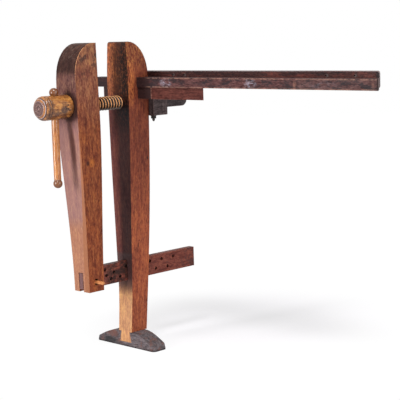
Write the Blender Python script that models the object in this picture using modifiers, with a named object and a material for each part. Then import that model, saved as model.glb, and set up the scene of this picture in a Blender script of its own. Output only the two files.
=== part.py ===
"""Wooden leg vise with its bench rails. Metres, +Z up.

The leg's jaw face is the plane X = 0, the floor is Z = 0 and the screw lies in the plane Y = 0.
The chop stands on the -X side, and the rails run along Y.
"""
from math import acos, cos, pi, radians, sin, sqrt

import bmesh
import bpy
from mathutils import Matrix, Vector

# Fits
GAP = 0.0003
RUNNING = 0.0004
SLIDE_PLAY = 0.0010
OVERCUT = 0.010
MERGE = 0.00002

# Leg, the fixed jaw
LEG_HEIGHT = 0.860
LEG_WIDTH = 0.0862
LEG_FOOT_WIDTH = 0.0530
LEG_DEPTH = 0.0745
LEG_FOOT_DEPTH = 0.0505
LEG_BELLY_DROP = 0.245
LEG_SWELL = 2.2
LEG_TAPER = 0.9
LEG_TOE = 0.008
TOE_SWEEP = 1.5
JAW_TOP_FLAT = 0.010
JAW_TOP_ROUND = 0.087
JAW_CROWN_NARROWING = 0.0065

# Foot
FOOT_HEIGHT = 0.043
FOOT_LENGTH = 0.2393
FOOT_SHIFT = 0.0041
FOOT_BACK_SETBACK = 0.007
FOOT_LAND_MARGIN = 0.0035
FOOT_TIP_HEIGHT = 0.012
FOOT_SWELL = 1.2
FOOT_CORNER = 0.011
DOVETAIL_SHOULDER = 0.0100
DOVETAIL_FLARE = 0.0065
DOVETAIL_FLOOR = 0.013

# Chop, the moving jaw
JAW_OPENING = 0.107
CHOP_LENGTH = 0.6752
CHOP_WIDTH = 0.087
CHOP_FOOT_WIDTH = 0.061
CHOP_DEPTH = 0.078
CHOP_FOOT_DEPTH = 0.053
CHOP_BELLY_DROP = 0.220
CHOP_SWELL = 1.5

# Screw and its head
SCREW_DROP = 0.1666
SCREW_RADIUS = 0.0190
THREAD_PITCH = 0.010
THREAD_DEPTH = 0.0048
THREAD_CREST = 0.0012
THREAD_ROOT = 0.0008
THREAD_OUTSIDE_CHOP = 0.005
SCREW_TAIL = 0.020
HEAD_RADIUS = 0.0325
HEAD_LENGTH = 0.0956
HEAD_CHAMFER = 0.003
HEAD_DISC_RADIUS = 0.0190
HEAD_NOSE_LENGTH = 0.0160
HEAD_GROOVES = 3
HEAD_GROOVE_START = 0.0058
HEAD_GROOVE_PITCH = 0.0082
HEAD_GROOVE_WIDTH = 0.0034
HEAD_GROOVE_DEPTH = 0.0015
NECK_DEPTH = 0.0044
NECK_WIDTH = 0.012
NECK_SETBACK = 0.030
GARTER_HEIGHT = 0.046

# Handle
BAR_SETBACK = 0.0422
BAR_RADIUS = 0.010
BALL_OVERHANG = 0.0025
BALL_SPACING = 0.242
BALL_TENON_RADIUS = 0.006
BALL_TENON_LENGTH = 0.012

# Guide board and its peg
GUIDE_THICKNESS = 0.019
GUIDE_HEIGHT = 0.0561
GUIDE_RISE = 0.0067
GUIDE_PROUD = 0.1940
GUIDE_HOLE_RADIUS = 0.0051
GUIDE_HOLE_PITCH = 0.0465
GUIDE_HOLE_EDGE = 0.0155
GUIDE_HOLE_END = 0.0865
GUIDE_HOLES_PER_ROW = 5
TENON_CHEEK = 0.005
TENON_SHOULDER = 0.0116
GUIDE_ODD_HOLES = ((0.024, 0.0425), (0.0285, 0.026), (0.056, 0.0315), (0.0455, 0.0145))
PEG_RADIUS = 0.0048
PEG_SETBACK = 0.026
PEG_RISE = 0.0198
PEG_PROUD = 0.030
PEG_BLIND = 0.008

# Rails
RAIL_DROP = 0.1263
FRONT_RAIL_HEIGHT = 0.027
FRONT_RAIL_SETBACK = 0.0313
BACK_RAIL_HEIGHT = 0.042
BACK_RAIL_DEPTH = 0.060
RAIL_NEAR_LENGTH = 0.8580
RAIL_END_SLOPE = 0.66
FRONT_RAIL_FAR_LENGTH = 0.150
BACK_RAIL_FAR_OVERHANG = 0.013

# Cleats under the front rail
CLEAT_HEIGHT = 0.0315
CLEAT_SETBACK = 0.003
CLEAT_BACK_SETBACK = 0.0082
CLEAT_NEAR_LENGTH = 0.2525
CLEAT_FAR_LENGTH = 0.055
CLEAT_END_SLOPE = 1.0

# Brackets behind the leg
SCREW_CLEARANCE = 0.0030
BRACKET_THICKNESS = 0.040
BRACKET_DEPTH = 0.0545
BRACKET_DROP = 0.081
TONGUE_LENGTH = 0.0775
TONGUE_DROP = 0.060
TONGUE_ROUND = 0.019

# Bolts and screws
BOLT_RADIUS = 0.004
BOLT_HEAD_RADIUS = 0.0075
BOLT_HEAD_HEIGHT = 0.005
BOLT_HEAD_SINK = 0.002
BOLT_TAIL = 0.008
BOLT_SETBACK = 0.0175
NUT_RADIUS = 0.0078
NUT_HEIGHT = 0.007
WASHER_RADIUS = 0.0095
WASHER_THICKNESS = 0.0015
LEG_BOLT_SPREAD = 0.022
LEG_BOLT_BITE = 0.014
SCREW_SHANK_RADIUS = 0.0025
SCREW_HEAD_RADIUS = 0.005
CLEAT_SCREW_BITE = 0.014
CLEAT_SCREW_INSET = 0.028
NEAR_CLEAT_SCREWS = 3
RAIL_SCREW_BITE = 0.020
RAIL_SCREW_INSET = 0.090
RAIL_SCREWS = 3

# Facets
ROUND_STEPS = 28
BAR_STEPS = 24
HOLE_STEPS = 12
THREAD_STEPS = 14
CURVE_STEPS = 10
CORNER_STEPS = 5

# Places worked out from the sizes above
LEG_BACK = LEG_DEPTH
FOOT_FRONT = -LEG_TOE
FOOT_BACK = LEG_FOOT_DEPTH - FOOT_BACK_SETBACK
FOOT_LAND = LEG_FOOT_WIDTH + 2 * FOOT_LAND_MARGIN
DOVETAIL_NECK = LEG_FOOT_WIDTH - 2 * DOVETAIL_SHOULDER
DOVETAIL_TAIL = DOVETAIL_NECK + 2 * DOVETAIL_FLARE
SCREW_HEIGHT = LEG_HEIGHT - SCREW_DROP
RAIL_BOTTOM = LEG_HEIGHT - RAIL_DROP
JAW_SPRING = LEG_HEIGHT - JAW_TOP_ROUND
CHOP_INNER = -JAW_OPENING
CHOP_OUTER = CHOP_INNER - CHOP_DEPTH
CHOP_BOTTOM = LEG_HEIGHT - CHOP_LENGTH
HEAD_INNER = CHOP_OUTER - RUNNING
HEAD_OUTER = HEAD_INNER - HEAD_LENGTH
HANDLE_X = HEAD_INNER - BAR_SETBACK
NECK_RADIUS = SCREW_RADIUS - NECK_DEPTH
BALL_RADIUS = BAR_RADIUS + BALL_OVERHANG
BAR_HOLE_RADIUS = BAR_RADIUS + RUNNING
BALL_SEAT = sqrt(BALL_RADIUS ** 2 - BAR_HOLE_RADIUS ** 2)
BALL_FLAT = sqrt(BALL_RADIUS ** 2 - BAR_RADIUS ** 2)
UPPER_BALL_Z = SCREW_HEIGHT + HEAD_RADIUS + BALL_SEAT + GAP
LOWER_BALL_Z = UPPER_BALL_Z - BALL_SPACING
NECK_X = CHOP_OUTER + NECK_SETBACK
GUIDE_BOTTOM = CHOP_BOTTOM + GUIDE_RISE
GUIDE_TOP = GUIDE_BOTTOM + GUIDE_HEIGHT
GUIDE_HEAD = CHOP_INNER - CHOP_FOOT_DEPTH
GUIDE_TAIL = LEG_BACK + GUIDE_PROUD
PEG_X = CHOP_INNER - PEG_SETBACK
PEG_Z = GUIDE_BOTTOM + PEG_RISE
FRONT_RAIL_TOP = RAIL_BOTTOM + FRONT_RAIL_HEIGHT
FRONT_RAIL_BACK = LEG_BACK
BACK_RAIL_FACE = LEG_BACK + GAP
BACK_RAIL_BACK = BACK_RAIL_FACE + BACK_RAIL_DEPTH
BACK_RAIL_TOP = RAIL_BOTTOM + BACK_RAIL_HEIGHT
CLEAT_FACE = FRONT_RAIL_SETBACK + CLEAT_SETBACK
CLEAT_BACK = FRONT_RAIL_BACK - CLEAT_BACK_SETBACK
CLEAT_TOP = RAIL_BOTTOM - GAP
CLEAT_BOTTOM = CLEAT_TOP - CLEAT_HEIGHT
BRACKET_FACE = LEG_BACK + GAP
BRACKET_TOP = RAIL_BOTTOM - GAP
BRACKET_BOTTOM = BRACKET_TOP - BRACKET_DROP
BRACKET_INNER = SCREW_RADIUS + SCREW_CLEARANCE
BRACKET_OUTER = BRACKET_INNER + BRACKET_THICKNESS
BACK_RAIL_FAR_LENGTH = BRACKET_OUTER + BACK_RAIL_FAR_OVERHANG
BOLT_X = BRACKET_FACE + BOLT_SETBACK
BOLT_Y = (BRACKET_INNER + BRACKET_OUTER) / 2


def start_empty():
    for old in list(bpy.data.objects):
        bpy.data.objects.remove(old, do_unlink=True)
    groups = []
    for name in ("leg_vise", "leg_vise_cutters"):
        group = bpy.data.collections.new(name)
        bpy.context.scene.collection.children.link(group)
        groups.append(group)
    return groups


PARTS, CUTTERS = start_empty()


def finish(name, colour, roughness=0.55, metallic=0.0):
    material = bpy.data.materials.new(name)
    material.use_nodes = True
    shader = material.node_tree.nodes["Principled BSDF"]
    shader.inputs["Base Color"].default_value = (*colour, 1.0)
    shader.inputs["Roughness"].default_value = roughness
    shader.inputs["Metallic"].default_value = metallic
    material.diffuse_color = (*colour, 1.0)
    return material


RED_BROWN = finish("red_brown_wood", (0.20, 0.075, 0.04))
DARK_RAIL = finish("dark_rail_wood", (0.085, 0.04, 0.035), 0.6)
BLACKENED = finish("blackened_foot_wood", (0.06, 0.04, 0.04), 0.65)
HONEY = finish("honey_turned_wood", (0.42, 0.20, 0.06), 0.4)
PALE_PEG = finish("pale_peg_wood", (0.50, 0.23, 0.09), 0.5)
IRON = finish("dark_iron", (0.05, 0.045, 0.045), 0.5, 0.9)


def add(mesh, name, material=None):
    thing = bpy.data.objects.new(name, mesh)
    if material is None:
        CUTTERS.objects.link(thing)
        thing.hide_render = True
        thing.display_type = "WIRE"
    else:
        PARTS.objects.link(thing)
        mesh.materials.append(material)
    return thing


def box(name, low, high, material=None):
    size = Vector(high) - Vector(low)
    middle = (Vector(high) + Vector(low)) / 2
    bm = bmesh.new()
    bmesh.ops.create_cube(bm, size=1.0, matrix=Matrix.Translation(middle) @ Matrix.Diagonal((*size, 1.0)))
    mesh = bpy.data.meshes.new(name)
    bm.to_mesh(mesh)
    bm.free()
    return add(mesh, name, material)


AXIS_TURN = {
    "X": Matrix.Rotation(pi / 2, 4, "Y"),
    "-X": Matrix.Rotation(-pi / 2, 4, "Y"),
    "Y": Matrix.Rotation(-pi / 2, 4, "X"),
    "Z": Matrix.Identity(4),
}


def rods(name, axis, spots, material=None, steps=HOLE_STEPS):
    """Straight rods along one axis: each spot is a start point, a length, and a radius at each end."""
    bm = bmesh.new()
    for start, length, first, last in spots:
        turn = AXIS_TURN[axis]
        middle = Vector(start) + turn @ Vector((0, 0, length / 2))
        bmesh.ops.create_cone(bm, cap_ends=True, segments=steps, radius1=first, radius2=last, depth=length,
                              matrix=Matrix.Translation(middle) @ turn)
    mesh = bpy.data.meshes.new(name)
    bm.to_mesh(mesh)
    bm.free()
    return add(mesh, name, material)


SIDE = Matrix(((1, 0, 0, 0), (0, 0, -1, 0), (0, 1, 0, 0), (0, 0, 0, 1)))
FRONT = Matrix(((0, 0, 1, 0), (1, 0, 0, 0), (0, 1, 0, 0), (0, 0, 0, 1)))
PLAN = Matrix.Identity(4)


def outline(name, points, plane, low, high, material=None):
    """A closed flat outline, drawn in a plane and given its thickness from low to high."""
    curve = bpy.data.curves.new(name, "CURVE")
    curve.dimensions = "2D"
    curve.fill_mode = "BOTH"
    curve.extrude = abs(high - low) / 2
    spline = curve.splines.new("POLY")
    spline.points.add(len(points) - 1)
    for point, (across, up) in zip(spline.points, points):
        point.co = (across, up, 0.0, 1.0)
    spline.use_cyclic_u = True
    drawn = bpy.data.objects.new(name, curve)
    CUTTERS.objects.link(drawn)
    bpy.context.view_layer.update()
    seen = drawn.evaluated_get(bpy.context.evaluated_depsgraph_get())
    mesh = bpy.data.meshes.new_from_object(seen)
    bpy.data.objects.remove(drawn, do_unlink=True)
    bpy.data.curves.remove(curve)
    mesh.materials.clear()
    bm = bmesh.new()
    bm.from_mesh(mesh)
    bmesh.ops.remove_doubles(bm, verts=bm.verts, dist=MERGE)
    thickness_way = plane @ Vector((0, 0, 1, 0))
    bmesh.ops.transform(bm, verts=bm.verts, matrix=plane)
    bmesh.ops.translate(bm, verts=bm.verts, vec=thickness_way.to_3d() * (low + high) / 2)
    bmesh.ops.recalc_face_normals(bm, faces=bm.faces)
    bm.to_mesh(mesh)
    bm.free()
    mesh.name = name
    return add(mesh, name, material)


def cut(body, tool, operation="DIFFERENCE"):
    modifier = body.modifiers.new(tool.name, "BOOLEAN")
    modifier.operation = operation
    modifier.solver = "EXACT"
    modifier.object = tool
    return body


def turned(name, profile, axis, place, material=None, steps=ROUND_STEPS):
    """A turned piece: profile of (radius, station), from its last station to its first, spun about an axis."""
    bm = bmesh.new()
    line = [bm.verts.new((radius, 0.0, station)) for radius, station in profile]
    for first, second in zip(line, line[1:]):
        bm.edges.new((first, second))
    mesh = bpy.data.meshes.new(name)
    bm.to_mesh(mesh)
    bm.free()
    thing = add(mesh, name, material)
    thing.matrix_world = Matrix.Translation(place) @ AXIS_TURN[axis]
    spin = thing.modifiers.new("turning", "SCREW")
    spin.axis = "Z"
    spin.angle = 2 * pi
    spin.steps = steps
    spin.render_steps = steps
    spin.use_merge_vertices = True
    spin.merge_threshold = MERGE
    spin.use_smooth_shade = True
    return thing


def smooth_step(t):
    t = min(max(t, 0.0), 1.0)
    return t * t * (3 - 2 * t)


def stations(low, high, count=CURVE_STEPS):
    return [low + (high - low) * i / count for i in range(count + 1)]


def crown(flat, reach, spring, top, way):
    """The rounded top of a jaw: a quarter ellipse from the flat at the jaw face to the outer face."""
    points = []
    for i in range(CURVE_STEPS + 1):
        angle = pi / 2 * i / CURVE_STEPS
        points.append((way * (flat + (reach - flat) * sin(angle)), spring + (top - spring) * cos(angle)))
    return points


# Leg: side outline and front outline, each cut to the other
def leg_half_width(z):
    t = (z - FOOT_HEIGHT) / (JAW_SPRING - FOOT_HEIGHT)
    return (LEG_FOOT_WIDTH + (LEG_WIDTH - LEG_FOOT_WIDTH) * smooth_step(t ** LEG_TAPER)) / 2


def leg_depth_at(z):
    t = min((z - FOOT_HEIGHT) / (LEG_HEIGHT - LEG_BELLY_DROP - FOOT_HEIGHT), 1.0)
    return LEG_FOOT_DEPTH + (LEG_DEPTH - LEG_FOOT_DEPTH) * (1 - (1 - t) ** LEG_SWELL)


def leg_front_at(z):
    """The jaw face is flat above the chop's foot and sweeps forward below it."""
    t = (CHOP_BOTTOM - z) / (CHOP_BOTTOM - FOOT_HEIGHT)
    return FOOT_FRONT * min(max(t, 0.0), 1.0) ** TOE_SWEEP


def dovetail(slack):
    top = FOOT_HEIGHT
    bottom = DOVETAIL_FLOOR - slack
    neck = DOVETAIL_NECK / 2 + slack
    tail = DOVETAIL_TAIL / 2 + slack
    return [(neck, top), (tail, bottom), (-tail, bottom), (-neck, top)]


def make_leg():
    low = FOOT_HEIGHT + GAP
    belly = LEG_HEIGHT - LEG_BELLY_DROP
    side = [(FOOT_FRONT, DOVETAIL_FLOOR)]
    side += [(leg_front_at(z), z) for z in stations(low, CHOP_BOTTOM)]
    side.append((0.0, LEG_HEIGHT))
    side += crown(JAW_TOP_FLAT, LEG_DEPTH, JAW_SPRING, LEG_HEIGHT, 1)
    side += [(leg_depth_at(z), z) for z in reversed(stations(low, belly))]
    side += [(LEG_FOOT_DEPTH, FOOT_HEIGHT), (FOOT_BACK, FOOT_HEIGHT), (FOOT_BACK, DOVETAIL_FLOOR)]
    leg = outline("leg", side, SIDE, -LEG_WIDTH, LEG_WIDTH, RED_BROWN)
    edge = [(leg_half_width(z), z) for z in stations(low, JAW_SPRING)]
    edge.append((LEG_WIDTH / 2 - JAW_CROWN_NARROWING, LEG_HEIGHT + OVERCUT))
    neck, tail = DOVETAIL_NECK / 2, DOVETAIL_TAIL / 2
    edge = [(tail, DOVETAIL_FLOOR - GAP), (neck, low)] + edge
    front = edge + [(-half, z) for half, z in reversed(edge)]
    cut(leg, outline("leg_front", front, FRONT, FOOT_FRONT - OVERCUT, LEG_DEPTH + OVERCUT), "INTERSECT")
    return leg


leg = make_leg()


# Foot: sloped to both ends, rounded in plan, with the sliding dovetail's socket across it
def foot_slope(end):
    """One end's outline: points of (distance from the middle, height) from the tip in to the leg."""
    land = FOOT_LAND / 2
    climb = FOOT_HEIGHT - FOOT_TIP_HEIGHT
    slope = [(end + OVERCUT, 0.0), (end + OVERCUT, FOOT_TIP_HEIGHT)]
    for i in range(CURVE_STEPS + 1):
        t = i / CURVE_STEPS
        slope.append((end + (land - end) * t, FOOT_TIP_HEIGHT + climb * sin(pi / 2 * t) ** FOOT_SWELL))
    return slope


def make_foot():
    far_end = FOOT_LENGTH / 2 + FOOT_SHIFT
    near_end = FOOT_LENGTH / 2 - FOOT_SHIFT
    front = foot_slope(far_end) + [(-y, z) for y, z in reversed(foot_slope(near_end))]
    foot = outline("foot", front, FRONT, FOOT_FRONT - OVERCUT, FOOT_BACK + OVERCUT, BLACKENED)
    plan = []
    near_x = FOOT_FRONT + FOOT_CORNER
    far_x = FOOT_BACK - FOOT_CORNER
    far_y = far_end - FOOT_CORNER
    near_y = FOOT_CORNER - near_end
    corners = ((far_x, far_y, 0), (near_x, far_y, 90), (near_x, near_y, 180), (far_x, near_y, 270))
    for x, y, first in corners:
        for i in range(CORNER_STEPS + 1):
            angle = radians(first + 90 * i / CORNER_STEPS)
            plan.append((x + FOOT_CORNER * cos(angle), y + FOOT_CORNER * sin(angle)))
    cut(foot, outline("foot_plan", plan, PLAN, -OVERCUT, FOOT_HEIGHT + OVERCUT), "INTERSECT")
    neck = DOVETAIL_NECK / 2 + GAP
    above = FOOT_HEIGHT + OVERCUT
    socket = [(neck, above)] + dovetail(GAP) + [(-neck, above)]
    cut(foot, outline("foot_socket", socket, FRONT, FOOT_FRONT - OVERCUT, FOOT_BACK + OVERCUT))
    return foot


foot = make_foot()


# Chop: made as the leg is, with its own taper
def chop_half_width(z):
    t = (z - CHOP_BOTTOM) / (CHOP_LENGTH - CHOP_BELLY_DROP)
    return (CHOP_FOOT_WIDTH + (CHOP_WIDTH - CHOP_FOOT_WIDTH) * smooth_step(t)) / 2


def chop_depth_at(z):
    t = min((z - CHOP_BOTTOM) / (CHOP_LENGTH - CHOP_BELLY_DROP), 1.0)
    return CHOP_FOOT_DEPTH + (CHOP_DEPTH - CHOP_FOOT_DEPTH) * max(t, 0.0) ** CHOP_SWELL


def make_chop():
    belly = LEG_HEIGHT - CHOP_BELLY_DROP
    side = [(0.0, CHOP_BOTTOM), (0.0, LEG_HEIGHT)]
    side += crown(JAW_TOP_FLAT, CHOP_DEPTH, JAW_SPRING, LEG_HEIGHT, -1)
    side += [(-chop_depth_at(z), z) for z in reversed(stations(CHOP_BOTTOM, belly))]
    side = [(CHOP_INNER + x, z) for x, z in side]
    chop = outline("chop", side, SIDE, -CHOP_WIDTH, CHOP_WIDTH, RED_BROWN)
    edge = [(CHOP_FOOT_WIDTH / 2, CHOP_BOTTOM - OVERCUT)]
    edge += [(chop_half_width(z), z) for z in stations(CHOP_BOTTOM, belly)]
    edge.append((CHOP_WIDTH / 2 - JAW_CROWN_NARROWING, LEG_HEIGHT + OVERCUT))
    front = edge + [(-half, z) for half, z in reversed(edge)]
    cut(chop, outline("chop_front", front, FRONT, CHOP_OUTER - OVERCUT, CHOP_INNER + OVERCUT), "INTERSECT")
    return chop


chop = make_chop()


# Guide board: its bare-faced tenon fills the chop's open slot, and it slides in a mortise through the leg
def make_guide():
    half = GUIDE_THICKNESS / 2
    guide = box("guide", (GUIDE_HEAD, -half, GUIDE_BOTTOM), (GUIDE_TAIL, half, GUIDE_TOP), RED_BROWN)
    shoulder = CHOP_INNER + GAP
    tenon_near = TENON_CHEEK - half
    tenon_top = GUIDE_TOP - TENON_SHOULDER
    before = GUIDE_HEAD - OVERCUT
    above = GUIDE_TOP + OVERCUT
    cut(guide, box("tenon_cheek", (before, -half - OVERCUT, GUIDE_BOTTOM - OVERCUT), (shoulder, tenon_near, above)))
    cut(guide, box("tenon_shoulder", (before, -half - OVERCUT, tenon_top), (shoulder, half + OVERCUT, above)))
    rows = ((GUIDE_TOP - GUIDE_HOLE_EDGE, GUIDE_TAIL - GUIDE_HOLE_END),
            (GUIDE_BOTTOM + GUIDE_HOLE_EDGE, GUIDE_TAIL - GUIDE_HOLE_END - GUIDE_HOLE_PITCH / 2))
    spots = []
    for z, first in rows:
        for k in range(GUIDE_HOLES_PER_ROW):
            spots.append((first - k * GUIDE_HOLE_PITCH, z))
    for ahead, rise in GUIDE_ODD_HOLES:
        spots.append((CHOP_INNER + ahead, GUIDE_BOTTOM + rise))
    deep = GUIDE_THICKNESS + 2 * OVERCUT
    drills = [((x, -deep / 2, z), deep, GUIDE_HOLE_RADIUS, GUIDE_HOLE_RADIUS) for x, z in spots]
    drills.append(((PEG_X, -deep / 2, PEG_Z), deep, PEG_RADIUS + GAP, PEG_RADIUS + GAP))
    cut(guide, rods("guide_holes", "Y", drills))
    cut(chop, box("chop_slot", (CHOP_OUTER - OVERCUT, tenon_near - GAP, CHOP_BOTTOM - OVERCUT),
                  (CHOP_INNER + OVERCUT, half + GAP, tenon_top + GAP)))
    room = half + SLIDE_PLAY
    cut(leg, box("guide_mortise", (-OVERCUT, -room, GUIDE_BOTTOM - SLIDE_PLAY),
                 (LEG_DEPTH + OVERCUT, room, GUIDE_TOP + SLIDE_PLAY)))
    return guide


guide = make_guide()


# Peg: pushed through the chop's near cheek and the guide, blind in the far cheek
def make_peg():
    near = -chop_half_width(PEG_Z) - PEG_PROUD
    far = GUIDE_THICKNESS / 2 + PEG_BLIND
    peg = rods("guide_peg", "Y", [((PEG_X, near, PEG_Z), far - near, PEG_RADIUS, PEG_RADIUS)], PALE_PEG)
    hole = PEG_RADIUS + GAP
    cut(chop, rods("peg_hole", "Y", [((PEG_X, near, PEG_Z), far + GAP - near, hole, hole)]))
    return peg


peg = make_peg()


# Screw: head with a ringed nose, plain shank, neck for the garter key and a helical thread
def nose_radius(along):
    t = min(along / HEAD_NOSE_LENGTH, 1.0)
    return HEAD_DISC_RADIUS + (HEAD_RADIUS - HEAD_DISC_RADIUS) * (1 - (1 - t) ** 2)


def head_profile():
    face = HEAD_OUTER - HEAD_INNER
    shape = [(0.0, face), (HEAD_DISC_RADIUS, face)]
    for k in range(HEAD_GROOVES):
        middle = HEAD_GROOVE_START + k * HEAD_GROOVE_PITCH
        first = middle - HEAD_GROOVE_WIDTH / 2
        last = middle + HEAD_GROOVE_WIDTH / 2
        shape += [(nose_radius(first), face + first), (nose_radius(middle) - HEAD_GROOVE_DEPTH, face + middle),
                  (nose_radius(last), face + last)]
    return shape + [(HEAD_RADIUS, -HEAD_CHAMFER), (HEAD_RADIUS - HEAD_CHAMFER, 0.0)]


def make_screw():
    tail = LEG_DEPTH + SCREW_TAIL - HEAD_INNER
    core = SCREW_RADIUS - THREAD_DEPTH
    plain_end = CHOP_INNER + THREAD_OUTSIDE_CHOP - HEAD_INNER
    neck = NECK_X - HEAD_INNER
    half = NECK_WIDTH / 2
    shape = head_profile() + [
        (SCREW_RADIUS, 0.0), (SCREW_RADIUS, neck - half), (NECK_RADIUS, neck - half), (NECK_RADIUS, neck + half),
        (SCREW_RADIUS, neck + half), (SCREW_RADIUS, plain_end), (core, plain_end + THREAD_DEPTH),
        (core, tail - THREAD_DEPTH), (core - THREAD_DEPTH / 2, tail), (0.0, tail)]
    screw = turned("vise_screw", list(reversed(shape)), "X", (HEAD_INNER, 0.0, SCREW_HEIGHT), HONEY)
    low = SCREW_HEIGHT - HEAD_RADIUS - OVERCUT
    drill = ((HANDLE_X, 0.0, low), 2 * (HEAD_RADIUS + OVERCUT), BAR_HOLE_RADIUS, BAR_HOLE_RADIUS)
    cut(screw, rods("bar_hole", "Z", [drill], steps=BAR_STEPS))
    first = plain_end - THREAD_PITCH / 2
    last = tail - 2 * THREAD_DEPTH - THREAD_PITCH
    cut(screw, thread_ridge(first, last, core), "UNION")
    return screw


def thread_ridge(first, last, core):
    """One V ridge wound round the core, right handed, with its two ends closed."""
    turns = (last - first) / THREAD_PITCH
    rings = round(turns * THREAD_STEPS)
    foot_half = (THREAD_PITCH - THREAD_ROOT) / 2
    section = [(core - THREAD_ROOT, -foot_half), (core - THREAD_ROOT, foot_half),
               (SCREW_RADIUS, THREAD_CREST / 2), (SCREW_RADIUS, -THREAD_CREST / 2)]
    bm = bmesh.new()
    loop = [bm.verts.new((radius, 0.0, first + along)) for radius, along in section]
    edges = [bm.edges.new((loop[i], loop[(i + 1) % 4])) for i in range(4)]
    advance = (last - first) / rings
    bmesh.ops.spin(bm, geom=loop + edges, cent=(0, 0, 0), axis=(0, 0, 1), dvec=(0, 0, advance),
                   angle=2 * pi * turns, steps=rings, use_duplicate=False)
    bmesh.ops.holes_fill(bm, edges=[e for e in bm.edges if e.is_boundary], sides=4)
    bmesh.ops.recalc_face_normals(bm, faces=bm.faces)
    place = Matrix.Translation((HEAD_INNER, 0.0, SCREW_HEIGHT)) @ AXIS_TURN["X"]
    bmesh.ops.transform(bm, verts=bm.verts, matrix=place)
    mesh = bpy.data.meshes.new("thread_ridge")
    bm.to_mesh(mesh)
    bm.free()
    return add(mesh, "thread_ridge")


screw = make_screw()
shaft_room = SCREW_RADIUS + RUNNING
cut(leg, rods("leg_bore", "X", [((-OVERCUT, 0, SCREW_HEIGHT), LEG_DEPTH + 2 * OVERCUT, shaft_room, shaft_room)],
              steps=ROUND_STEPS))
cut(chop, rods("chop_bore", "X", [((CHOP_OUTER - OVERCUT, 0, SCREW_HEIGHT), CHOP_DEPTH + 2 * OVERCUT,
                                   shaft_room, shaft_room)], steps=ROUND_STEPS))


# Garter key: slid in from the chop's far edge, hollowed to sit in half of the screw's neck
def make_garter():
    half_x = NECK_WIDTH / 2 - RUNNING
    half_z = GARTER_HEIGHT / 2
    far = chop_half_width(SCREW_HEIGHT)
    key = box("garter_key", (NECK_X - half_x, 0.0, SCREW_HEIGHT - half_z),
              (NECK_X + half_x, far - SLIDE_PLAY, SCREW_HEIGHT + half_z), RED_BROWN)
    ring = NECK_RADIUS + RUNNING
    cut(key, rods("garter_hollow", "X", [((NECK_X - NECK_WIDTH, 0, SCREW_HEIGHT), 2 * NECK_WIDTH, ring, ring)],
                  steps=ROUND_STEPS))
    cut(chop, box("garter_mortise", (NECK_X - half_x - GAP, -GAP, SCREW_HEIGHT - half_z - GAP),
                  (NECK_X + half_x + GAP, far + OVERCUT, SCREW_HEIGHT + half_z + GAP)))
    return key


garter = make_garter()


# Handle: bar with a tenon at each end, and a turned ball on each tenon
def make_handle():
    low = LOWER_BALL_Z + BALL_FLAT + GAP
    high = UPPER_BALL_Z - BALL_FLAT - GAP
    tenon = BALL_TENON_LENGTH
    pin = BALL_TENON_RADIUS
    shape = [(0.0, high + tenon), (pin, high + tenon), (pin, high), (BAR_RADIUS, high), (BAR_RADIUS, low),
             (pin, low), (pin, low - tenon), (0.0, low - tenon)]
    bar = turned("handle_bar", shape, "Z", (HANDLE_X, 0.0, 0.0), HONEY, steps=BAR_STEPS)
    balls = []
    for name, z, way in (("handle_ball_upper", UPPER_BALL_Z, 1), ("handle_ball_lower", LOWER_BALL_Z, -1)):
        reach = acos(-BALL_FLAT / BALL_RADIUS)
        arc = [(BALL_RADIUS * sin(reach * i / CURVE_STEPS), BALL_RADIUS * cos(reach * i / CURVE_STEPS))
               for i in range(CURVE_STEPS + 1)]
        arc[0] = (0.0, BALL_RADIUS)
        roof = -BALL_FLAT + tenon + GAP
        arc += [(pin + GAP, -BALL_FLAT), (pin + GAP, roof), (0.0, roof)]
        if way < 0:
            arc = [(radius, -station) for radius, station in reversed(arc)]
        balls.append(turned(name, arc, "Z", (HANDLE_X, 0.0, z), HONEY, steps=BAR_STEPS))
    return bar, balls


handle_bar, handle_balls = make_handle()


# Rails: the front one let into the leg's back, the back one behind it, both sawn on one slant
def rail_end(x):
    return -RAIL_NEAR_LENGTH + RAIL_END_SLOPE * (x - FRONT_RAIL_SETBACK)


def rail(name, face, back, far, top):
    plan = [(face, far), (face, rail_end(face)), (back, rail_end(back)), (back, far)]
    return outline(name, plan, PLAN, RAIL_BOTTOM, top, DARK_RAIL)


front_rail = rail("front_rail", FRONT_RAIL_SETBACK, FRONT_RAIL_BACK, FRONT_RAIL_FAR_LENGTH, FRONT_RAIL_TOP)
back_rail = rail("back_rail", BACK_RAIL_FACE, BACK_RAIL_BACK, BACK_RAIL_FAR_LENGTH, BACK_RAIL_TOP)
cut(leg, box("rail_housing", (FRONT_RAIL_SETBACK - GAP, -LEG_WIDTH, RAIL_BOTTOM - GAP),
             (LEG_DEPTH + OVERCUT, LEG_WIDTH, FRONT_RAIL_TOP + GAP)))


# Cleats: strips screwed under the front rail, one against each side of the leg
LEG_SIDE = leg_half_width(RAIL_BOTTOM) + GAP


def make_cleat(name, length, way):
    end = LEG_SIDE + length
    shorter = end - CLEAT_END_SLOPE * (CLEAT_BACK - CLEAT_FACE) if way < 0 else end
    plan = [(CLEAT_FACE, way * LEG_SIDE), (CLEAT_FACE, way * end), (CLEAT_BACK, way * shorter),
            (CLEAT_BACK, way * LEG_SIDE)]
    return outline(name, plan, PLAN, CLEAT_BOTTOM, CLEAT_TOP, DARK_RAIL)


cleat_near = make_cleat("rail_cleat_near", CLEAT_NEAR_LENGTH, -1)
cleat_far = make_cleat("rail_cleat_far", CLEAT_FAR_LENGTH, 1)


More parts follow.
